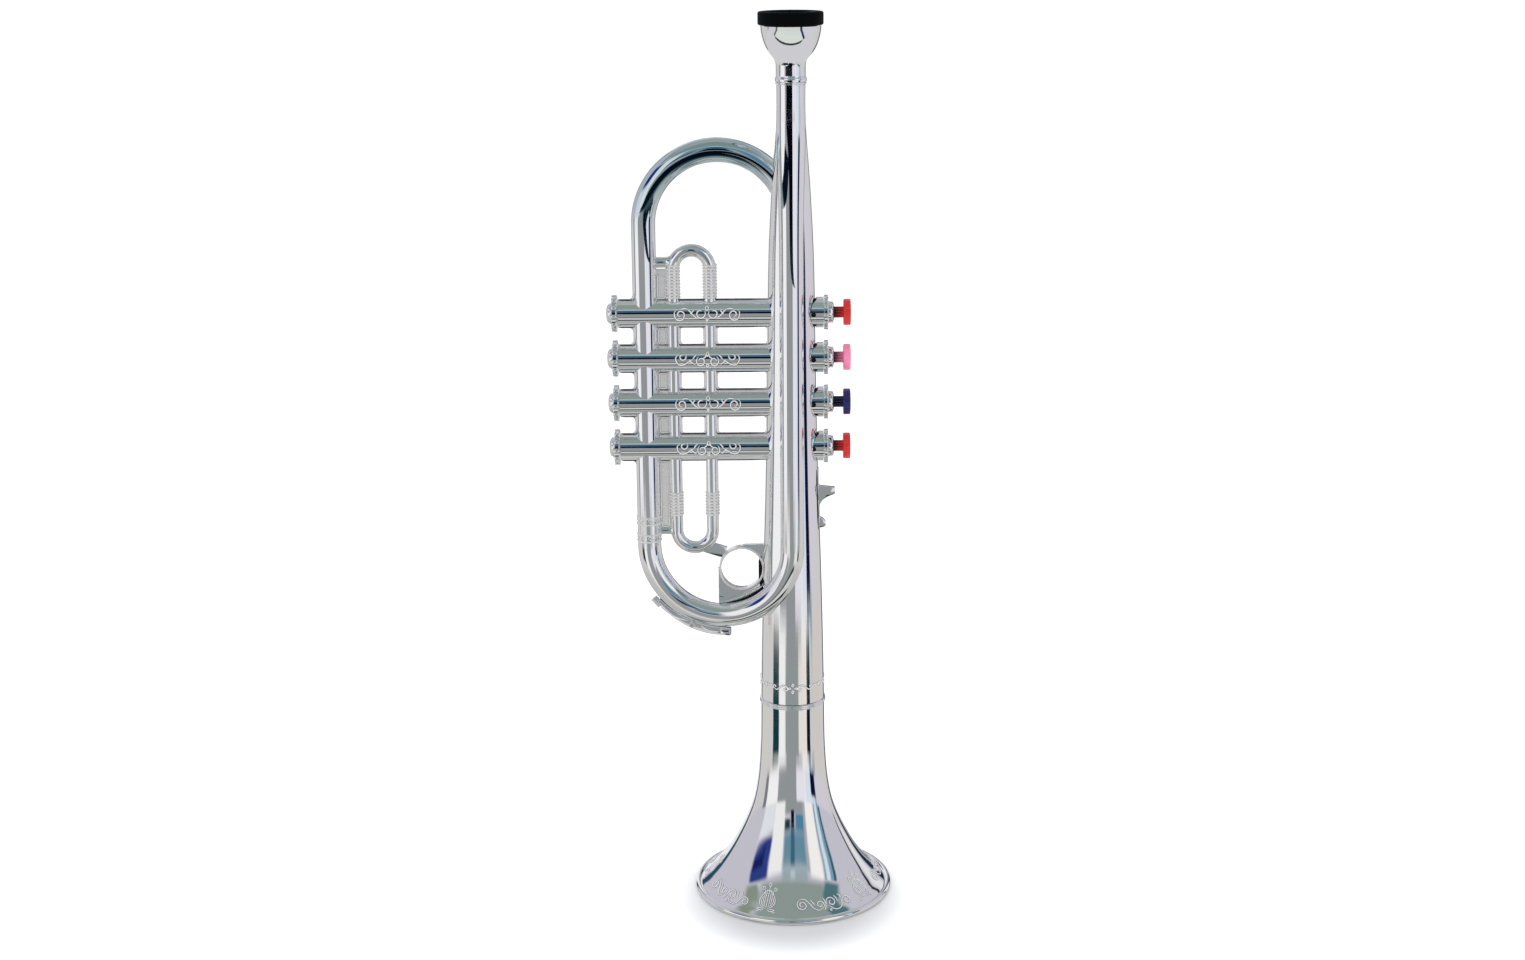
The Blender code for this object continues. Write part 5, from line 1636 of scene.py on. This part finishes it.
    def _button(self, bench: Bench, place: Matrix) -> None:
        """The push button with its fluted stem, which moves with its key."""
        back = self.button_reach - self.button_thickness
        edge, dish = 0.5 * MM, 0.2 * MM
        face = [
            (
                self.button_radius - edge - (self.button_radius - edge) * share,
                self.button_reach - dish * (1 - share) ** 2,
            )
            for share in (1.0, 0.75, 0.5, 0.25)
        ]
        round_face = [
            (self.button_radius - edge + edge * math.sin(turn), self.button_reach - dish - edge + edge * math.cos(turn))
            for turn in np.linspace(0, TURN / 4, 7)
        ]
        round_back = arc((self.button_radius - edge, back + edge), edge, 0, TURN / 4, 5, -edge)
        outline = [*face, *round_face, *round_back, (2.4 * MM, back), (2.2 * MM, back - 0.3 * MM), (0, back - 0.3 * MM)]
        disc = lathe("disc", outline, 96)
        half = self.stem_width / 2

        def fluted(radius: float, height: float, turn: float) -> float:
            """Fins along the stem, with narrow grooves between them."""
            return radius * (1 - 0.26 * (0.5 + 0.5 * math.cos(12 * turn)) ** 2)

        rows = [(half, height) for height in np.linspace(self.stem_foot, back, 4)]
        stem = lathe("stem", [(0, self.stem_foot), *rows, (0, back)], 120, fluted)
        whole = joined(f"push_button_{self.number}", [disc, stem])
        node = f"button_{self.number}"
        bench.add(
            whole, BUTTON_COATS[self.number], body=f"key_{self.number}", stands_for=(node,), place=place, sharp=42
        )


@dataclass
class WaterKey:
    """The dummy water key in the lower bow's plane: ribbed grip, blade with a raised ridge, boss and square tip."""

    span: float = 67 * MM
    forward: float = 11.5 * MM
    height: float = 173.9 * MM
    gap: float = 0.6 * MM
    thickness: float = 3.2 * MM
    depth: float = 3.5 * MM
    grip_turn: float = 223
    tip_turn: float = 273
    shares: tuple[Point2, ...] = (
        (0.0, 0.50), (0.125, 0.60), (0.25, 0.70), (0.375, 0.79), (0.5, 0.87), (0.625, 0.93), (0.75, 0.98), (0.875, 1.0),
        (1.0, 0.96),
    )

    def _spot(self, turn: float, depth: float) -> Point2:
        """A point of the key's plane, by the bow's angle in degrees and the depth below its outer line."""
        half = self.span / 2
        reach = half + 5.5 * MM + self.gap + depth
        stretch = math.hypot(self.forward, self.span) / self.span
        return (half + reach * math.cos(math.radians(turn))) * stretch, reach * math.sin(math.radians(turn))

    def build(self, bench: Bench) -> None:
        """Makes the key."""
        turns = [
            (self.grip_turn + (self.tip_turn - self.grip_turn) * share, deep)
            for share, deep in smoothed(self.shares, 30)
        ]
        inner = [self._spot(turn, 0) for turn, _ in turns]
        outer = [self._spot(turn, self.depth * deep) for turn, deep in turns]
        meshes = [plate("water_key_plated", [inner + outer[::-1]], self.thickness, 0.35 * MM)]
        tip_x, tip_z = inner[-1]
        tip = [
            (tip_x - 2.35 * MM, tip_z - 3.6 * MM), (tip_x + 2.35 * MM, tip_z - 3.6 * MM),
            (tip_x + 2.35 * MM, tip_z - 0.3 * MM), (tip_x - 2.35 * MM, tip_z - 0.3 * MM),
        ]
        meshes.append(plate("tip", [tip], self.thickness + 0.6 * MM, 0.3 * MM))
        grip = []
        for rib in range(5):
            ring = lathe(
                "grip",
                [
                    (0, -0.42 * MM), (1.5 * MM, -0.42 * MM), (1.9 * MM, -0.15 * MM), (1.9 * MM, 0.15 * MM),
                    (1.5 * MM, 0.42 * MM), (0, 0.42 * MM),
                ],
                36,
            )
            ring.transform(Matrix.Translation((0, 0, (rib - 2) * 1.02 * MM)))
            grip.append(ring)
        core = lathe("core", [(0, -2.4 * MM), (1.45 * MM, -2.4 * MM), (1.45 * MM, 2.4 * MM), (0, 2.4 * MM)], 36)
        grip_x, grip_z = self._spot(self.grip_turn, 1.9 * MM)
        handle = joined("grip", [*grip, core])
        handle.transform(
            Matrix.Translation((grip_x, 0, grip_z)) @ Matrix.Rotation(-math.radians(self.grip_turn), 4, "Y")
        )
        meshes.append(handle)
        boss_x, boss_z = self._spot(self.grip_turn + 0.55 * (self.tip_turn - self.grip_turn), 1.3 * MM)
        boss = lathe(
            "boss",
            [
                (0, -2.6 * MM), (1.0 * MM, -2.6 * MM), (1.3 * MM, -2.3 * MM), (1.3 * MM, 2.3 * MM),
                (1.0 * MM, 2.6 * MM), (0, 2.6 * MM),
            ],
            40,
        )
        boss.transform(Matrix.Translation((boss_x, 0, boss_z)) @ Matrix.Rotation(TURN / 4, 4, "X"))
        meshes.append(boss)
        ridges = [
            [
                self._spot(self.grip_turn + 4, 2.2 * MM), self._spot(self.grip_turn + 11, 2.0 * MM),
                self._spot(self.grip_turn + 18, 1.3 * MM), self._spot(self.grip_turn + 24, 0.3 * MM),
            ],
            [
                self._spot(self.grip_turn + 33, 0.5 * MM), self._spot(self.grip_turn + 39, 1.9 * MM),
                self._spot(self.tip_turn - 4, 2.1 * MM),
            ],
        ]
        tilt = Matrix.Translation((-self.span, 0, self.height)) @ Matrix.Rotation(
            -math.atan2(self.forward, self.span), 4, "Z"
        )
        bench.add(joined("water_key_plated", meshes), Coat.PLATING, stands_for=("water_key",), place=tilt, sharp=42)
        raised = relief("water_key_ridges", ridges, front_of(self.thickness), 0.6 * MM, 0.35 * MM)
        # The raised ridges are in the pale satin of a painted highlight.
        bench.add(raised, Coat.ORNAMENT, place=tilt)
        # Painted shade: a black bar through the tip stands for its slot, which is not cut.
        slot = plate(
            "water_key_slot_shade",
            [
                [
                    (tip_x - 1.6 * MM, tip_z - 1.75 * MM), (tip_x + 1.6 * MM, tip_z - 1.75 * MM),
                    (tip_x + 1.6 * MM, tip_z - 1.05 * MM), (tip_x - 1.6 * MM, tip_z - 1.05 * MM),
                ]
            ],
            self.thickness + 0.7 * MM, 0.05 * MM,
        )
        bench.add(slot, Coat.PAINTED_SHADE, place=tilt)


@dataclass
class FingerHook:
    """The thin hooked strip in the bell tube's right side, in its slot."""

    tube: BellTube
    bottom: float = 181.6 * MM
    length: float = 28.8 * MM
    strip: float = 1.4 * MM
    proud: float = 0.3 * MM
    reach: float = 7.3 * MM
    depth: float = 3.0 * MM
    slot_turn: float = math.radians(70.5)
    shares: tuple[Point2, ...] = (
        (0.00, 1.000), (0.00, 0.730), (0.08, 0.700), (0.50, 0.690), (1.00, 0.675), (1.02, 0.62), (1.00, 0.565),
        (0.78, 0.548), (0.60, 0.530), (0.38, 0.500),
        (0.20, 0.465), (0.11, 0.434), (0.00, 0.378), (0.00, 0.175), (0.20, 0.150), (0.34, 0.100), (0.34, 0.030),
        (0.15, 0.004), (0.00, 0.000),
    )

    def build(self, bench: Bench) -> None:
        """Makes the strip, and a dark line of painted shade beside it along the gap of its slot."""
        outline = []
        for out, high in self.shares:
            height = self.bottom + self.length * high
            outline.append((self.tube.radius(height) + self.proud + self.reach * min(out, 1), height))
        for high in np.linspace(0, 1, 12):
            height = self.bottom + self.length * high
            outline.append((self.tube.radius(height) + self.proud - self.strip, height))
        bench.add(
            plate("finger_hook_plated", [outline], self.depth, 0.25 * MM), Coat.PLATING, stands_for=("finger_hook",),
            sharp=42,
        )

        def skin(u: float, v: float) -> tuple[Vector, Vector]:
            """A point of the bell tube's skin, by the length round it and the height."""
            radius = self.tube.radius(v)
            turn = self.slot_turn + u / radius
            normal = Vector((math.sin(turn), -math.cos(turn), 0))
            return normal * radius + Vector((0, 0, v)), normal

        # Painted shade: a thin dark raised line on the bell tube where the gap of the slot beside the strip is.
        line = [(0, self.bottom + self.length * share) for share in (0.0, 0.3, 0.6, 1.0)]
        bench.add(relief("hook_slot_shade", [line], skin, 2.3 * MM, 0.12 * MM), Coat.PAINTED_SHADE, sharp=70)


@dataclass(frozen=True)
class Card:
    """A soft-edged patch of the room that the plating mirrors: where it is in degrees, and its screen colour."""

    left: float
    right: float
    low: float
    high: float
    shade: tuple[int, int, int]
    soft: float = 3.0


ROOM = (
    (-90, (196, 198, 194)), (-60, (178, 180, 176)), (-33, (190, 190, 186)), (-27, (206, 203, 199)),
    (-8, (203, 201, 200)),
    (-2, (193, 191, 201)), (45, (192, 190, 201)), (55, (160, 167, 168)), (75, (166, 173, 167)), (90, (172, 180, 172)),
)
CARDS = (
    Card(-52, -22, -20, 37, (238, 237, 236)),
    Card(-84, -52, -6, 16, (222, 224, 232)),
    Card(-82, -50, 18, 38, (44, 62, 128)),
    Card(-80, -62, 22, 28, (26, 34, 92), 2),
    Card(-88, -68, 41, 56, (132, 142, 128), 4),
    Card(-22, 28, -34, 6, (142, 147, 150)),
    Card(-22, 28, 19, 34, (100, 138, 156), 4),
    Card(-22, 28, 33, 43, (152, 168, 176), 4),
    Card(-22, -8, 11, 19, (22, 52, 64), 2),
    Card(-6, 3, 3, 19, (5, 12, 20), 1.5),
    Card(-6, 3, 18, 33, (62, 98, 122), 2),
    Card(-6, 3, 36, 56, (184, 196, 200), 2),
    Card(6, 28, 6, 20, (78, 126, 156)),
    Card(-60, 58, 42, 90, (136, 149, 144), 5),
    Card(28, 33, -20, 36, (160, 166, 170), 1.5),
    Card(34, 58, -22, 38, (243, 239, 236)),
    Card(59, 63, -24, 37, (128, 160, 176), 1),
    Card(63, 70, -24, 37, (206, 220, 230), 1.5),
    Card(70, 75, -24, 36, (112, 156, 178), 1.5),
    Card(75, 80, -24, 36, (52, 88, 110), 1.5),
    Card(58, 84, 39, 58, (78, 114, 120), 4),
    Card(127, 130.5, -6, 24, (40, 42, 42), 0.8),
    Card(133, 144, -6, 24, (226, 226, 228)),
    Card(-40, 40, -43, -30, (206, 207, 204)),
    Card(-40, 30, -74, -60, (226, 226, 222), 4),
    Card(-20, 34, -29.5, -25.5, (24, 28, 34), 1),
    Card(-24, 48, -54, -45, (8, 12, 16), 1.5),
    Card(-97, -86, -16, -3, (120, 122, 130), 1.5),
    Card(-84, -49, -16, -3, (242, 242, 244), 1.5),
    Card(-48, 10, -16, -3, (144, 147, 150), 1.5),
    Card(11, 38, -16, -3, (228, 226, 234), 1.5),
    Card(40, 62, -16, -3, (214, 222, 236), 1.5),
    Card(58, 75, -16, -7, (15, 22, 54), 1.2),
    Card(74, 120, -16, -3, (206, 203, 212), 2),
    Card(-75, -51, -24, -17, (24, 60, 64), 1.5),
    Card(-49, -28, -24, -17, (240, 240, 240), 1.5),
    Card(-26, 19, -24, -17, (142, 148, 148), 1.5),
    Card(21, 50, -24, -17, (228, 224, 216), 1.5),
    Card(52, 66, -24, -17, (24, 27, 32), 1.5),
    Card(68, 120, -24, -17, (205, 200, 194), 2),
    Card(-176, -152, -40, 32, (238, 238, 240), 2),
    Card(-150, -142, -40, 34, (44, 74, 96), 1.5),
    Card(148, 158, -40, 32, (30, 44, 66), 1.5),
    Card(160, 171, -30, 40, (126, 138, 144), 2),
    Card(172, 184, 5, 19, (10, 16, 24), 1.5),
    Card(-184, -172, 5, 19, (10, 16, 24), 1.5),
    Card(-150, 150, -72, -62, (120, 126, 126), 3),
)


@dataclass(frozen=True)
class Sheet:
    """A sheet that only plating on its one side mirrors.

    Its corners are measured from the bell's axis: the two nearest the trumpet, then the two farthest. Its first
    screen colour turns to its second between the two depths of change, and it fades in over another pair.
    """

    name: str
    corners: tuple[tuple[float, float, float], ...]
    near_shade: tuple[int, int, int]
    far_shade: tuple[int, int, int]
    change: Point2
    fade: Point2 | None = None


def level(height: float, *corners: Point2) -> tuple[tuple[float, float, float], ...]:
    """Four corners of a level sheet."""
    return tuple((x, y, height) for x, y in corners)


SHEETS = (
    Sheet(
        "dark_sheet", level(0.2950, (-0.095, -0.300), (0.012, -0.030), (-1.500, -1.750), (0.345, -1.750)), (26, 44, 58),
        (7, 13, 24), (-0.03, -0.24),
    ),
    Sheet(
        "bow_sheet", level(0.3300, (-0.078, -0.008), (-0.022, -0.008), (-0.170, -0.160), (-0.050, -0.160)),
        (96, 116, 124), (12, 24, 36), (-0.012, -0.036), fade=(-0.008, -0.030),
    ),
    Sheet(
        "light_sheet", level(0.3980, (-0.032, -0.0328), (0.020, -0.0328), (-0.750, -1.000), (0.500, -1.000)),
        (214, 220, 214), (150, 162, 150), (-0.03, -0.25),
    ),
    Sheet(
        "dark_edge", level(0.3981, (-0.027, -0.0303), (0.013, -0.0308), (-0.033, -0.0334), (0.019, -0.0334)),
        (50, 62, 54), (50, 62, 54), (-0.03, -0.1),
    ),
    Sheet(
        "right_edge", level(0.3982, (0.0190, -0.0325), (0.0240, -0.0325), (0.490, -1.000), (0.680, -1.000)),
        (48, 58, 98), (70, 82, 120), (-0.03, -0.3),
    ),
    Sheet(
        "left_edge", level(0.3982, (-0.0375, -0.0325), (-0.0312, -0.0325), (-0.960, -1.000), (-0.740, -1.000)),
        (96, 110, 102), (128, 140, 134), (-0.03, -0.3),
    ),
    Sheet(
        "pale_sheet", level(0.3978, (-0.060, -0.0050), (0.060, -0.0050), (-0.600, -0.3000), (0.600, -0.3000)),
        (206, 206, 210), (206, 206, 210), (-0.03, -0.1),
    ),
)


class Studio:
    """The pale floor with its painted shadow, the soft lights, the banded surroundings that the plating mirrors, and
    the camera.
    """

    @staticmethod
    def _light(shade: Sequence[float]) -> tuple[float, float, float, float]:
        """A screen colour of 0 to 255 as light."""
        red, green, blue = ((part / 255) ** 2.2 for part in shade)
        return (red, green, blue, 1.0)

    def build(self) -> None:
        """Makes the whole studio."""
        self._surroundings()
        self._floor()
        self._lights()
        self._sheets()
        self._camera()
        bpy.context.scene.view_settings.view_transform = "Standard"

    def _surroundings(self) -> None:
        """What the plating mirrors, by direction; the camera itself sees white."""
        world = bpy.data.worlds.new("studio")
        bpy.context.scene.world = world
        world.use_nodes = True
        tree = world.node_tree
        tree.nodes.clear()
        wires = Wires(tree)
        x, y, z = wires.axes(wires.node("ShaderNodeTexCoord").outputs["Generated"])
        degrees = 360 / TURN
        turn = wires.math("MULTIPLY", wires.math("ARCTAN2", x, wires.math("MULTIPLY", y, -1.0)), degrees)
        rise = wires.math("MULTIPLY", wires.math("ARCSINE", z), degrees)
        share = wires.math("ADD", wires.math("DIVIDE", rise, 180.0), 0.5)
        seen = wires.ramp(share, [((height + 90) / 180, self._light(shade)[:3]) for height, shade in ROOM])
        for card in CARDS:
            inside = wires.math(
                "MULTIPLY", wires.band(turn, card.left, card.right, card.soft),
                wires.band(rise, card.low, card.high, card.soft)
            )
            seen = wires.mix(inside, seen, self._light(card.shade))
        path = wires.node("ShaderNodeLightPath")
        mirrored = wires.mix(path.outputs["Is Glossy Ray"], (0.80, 0.81, 0.83, 1), seen)
        shown = wires.mix(path.outputs["Is Camera Ray"], mirrored, (1, 1, 1, 1))
        back = wires.node("ShaderNodeBackground")
        wires.feed(back.inputs[0], shown)
        back.inputs[1].default_value = 1.0
        wires.feed(wires.node("ShaderNodeOutputWorld").inputs[0], back.outputs[0])

    def _floor(self) -> None:
        """A pale floor, far wider than the view, with a soft shadow painted round the bell's foot: a darker colour near
        it, and a glow farther out that lifts the rest to white.
        """
        mesh = bpy.data.meshes.new("floor")
        reach = 12.0
        mesh.from_pydata(
            [(-reach, -reach, 0), (reach, -reach, 0), (reach, reach, 0), (-reach, reach, 0)], [], [(0, 1, 2, 3)]
        )
        obj = in_scene("floor", mesh)
        obj.location.z = -0.05 * MM
        paint = bpy.data.materials.new("pale_floor_painted_shadow")
        paint.use_nodes = True
        shader = paint.node_tree.nodes["Principled BSDF"]
        wires = Wires(paint.node_tree)
        # Painted shadow: darker and unlit near the bell's foot, centred a little in front of it, and glowing white
        # beyond.
        place = wires.node("ShaderNodeMapping")
        place.inputs["Location"].default_value = (-1.15 * AXIS_X, 14 * MM, 0)
        place.inputs["Scale"].default_value = (1.15, 1, 1)
        wires.feed(place.inputs["Vector"], wires.node("ShaderNodeTexCoord").outputs["Object"])
        length = wires.node("ShaderNodeVectorMath", operation="LENGTH")
        wires.feed(length.inputs[0], place.outputs[0])
        outside_painted_shadow = wires.steps(length.outputs["Value"], 40 * MM, 76 * MM)
        wires.feed(shader.inputs["Base Color"], wires.mix(outside_painted_shadow, (0.74, 0.74, 0.75, 1), (0.93, 0.93, 0.935, 1)))
        wires.feed(shader.inputs["Emission Strength"], wires.math("MULTIPLY", outside_painted_shadow, 0.30))
        shader.inputs["Emission Color"].default_value = (1, 1, 1, 1)
        shader.inputs["Roughness"].default_value = 0.9
        shader.inputs["Specular IOR Level"].default_value = 0.1
        mesh.materials.append(paint)
        obj.visible_glossy = False

    def _lights(self) -> None:
        """Broad soft lights, which the plating doesn't mirror."""
        rows = (
            ("key", (-0.55, -0.75, 1.15), 0.9, 2.4),
            ("fill", (0.95, -0.60, 0.75), 0.8, 0.8),
            ("top", (0.05, 0.15, 1.45), 1.0, 2.4),
            ("back", (-0.2, 1.2, 0.8), 0.9, 1.0),
        )
        for name, spot, size, power in rows:
            data = bpy.data.lights.new(name, "AREA")
            data.size = size
            data.energy = power
            obj = in_scene(name, data)
            obj.location = spot
            obj.rotation_euler = (Vector((0, 0, 0.18)) - Vector(spot)).to_track_quat("-Z", "Y").to_euler()
            obj.visible_glossy = False

    def _sheets(self) -> None:
        """One-sided sheets near the trumpet, which the tubes and the cup mirror and nothing sees directly."""
        for sheet in SHEETS:
            mesh = bpy.data.meshes.new(sheet.name)
            corners = [(AXIS_X + x, y, z) for x, y, z in sheet.corners]
            mesh.from_pydata(corners, [], [(2, 3, 1, 0)])
            obj = in_scene(sheet.name, mesh)
            paint = bpy.data.materials.new(sheet.name)
            paint.use_nodes = True
            tree = paint.node_tree
            tree.nodes.clear()
            wires = Wires(tree)
            glow = wires.node("ShaderNodeEmission")
            along = wires.axes(wires.node("ShaderNodeTexCoord").outputs["Object"])[1]
            far = wires.steps(along, *sheet.change)
            wires.feed(glow.inputs[0], wires.mix(far, self._light(sheet.near_shade), self._light(sheet.far_shade)))
            clear = wires.node("ShaderNodeBsdfTransparent")
            side = wires.node("ShaderNodeMixShader")
            hidden = wires.node("ShaderNodeNewGeometry").outputs["Backfacing"]
            if sheet.fade:
                hidden = wires.math("MAXIMUM", hidden, wires.steps(along, sheet.fade[1], sheet.fade[0]))
            wires.feed(side.inputs[0], hidden)
            wires.feed(side.inputs[1], glow.outputs[0])
            wires.feed(side.inputs[2], clear.outputs[0])
            wires.feed(wires.node("ShaderNodeOutputMaterial").inputs[0], side.outputs[0])
            mesh.materials.append(paint)
            obj.visible_camera = obj.visible_diffuse = obj.visible_shadow = False

    def _camera(self) -> None:
        """The photograph's view, tilted down by 15 degrees."""
        data = bpy.data.cameras.new("camera")
        data.sensor_width = 36.0
        focal_pixels, picture_width = 2185, 1525
        data.lens = focal_pixels / picture_width * data.sensor_width
        data.clip_start, data.clip_end = 0.05, 60.0
        obj = in_scene("camera", data)
        tilt, roll = math.radians(15), math.radians(0.40)
        ahead = Vector((0, math.cos(tilt), -math.sin(tilt)))
        up = Vector((0, math.sin(tilt), math.cos(tilt)))
        turned = Matrix((Vector((1, 0, 0)), up, -ahead)).transposed().to_4x4()
        target, distance = Vector((4.86 * MM, 0, 204.6 * MM)), 1021.2 * MM
        spot = target - ahead * distance
        obj.matrix_world = Matrix.Translation(spot) @ turned @ Matrix.Rotation(-roll, 4, "Z")
        bpy.context.scene.camera = obj


def coat_inner_parts(bench: Bench) -> None:
    """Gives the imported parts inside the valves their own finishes."""
    coats = {
        "return_spring": Coat.STEEL, "valve_pad": Coat.RUBBER, "valve_seat": Coat.WHITE, "reed_block": Coat.WHITE,
        "reed": Coat.BRASS,
    }
    for kind, coat in coats.items():
        for number in VALVES:
            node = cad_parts[f"{kind}_{number}"]
            node.data.materials.clear()
            node.data.materials.append(bench.paint.of(coat))
            log.info("%s_%d: packed part in %s", kind, number, coat.value)


def main() -> None:
    """Builds the trumpet's sub-assemblies in order, then the studio."""
    logging.basicConfig(level=logging.INFO, format="%(name)s: %(message)s")
    bench = Bench()
    column = BellTube()
    loop = SmallLoop()
    column.build(bench)
    Windway().build(bench)
    loop.build(bench)
    Casings(column, loop).build(bench)
    FingerRing(column).build(bench)
    Bell().build(bench)
    Mouthpiece().build(bench)
    for number in VALVES:
        Valve(number, column).build(bench)
    WaterKey().build(bench)
    FingerHook(column).build(bench)
    coat_inner_parts(bench)
    Studio().build()
    log.info("%d pieces made", len(bench.pieces))


if __name__ == "__main__":
    main()
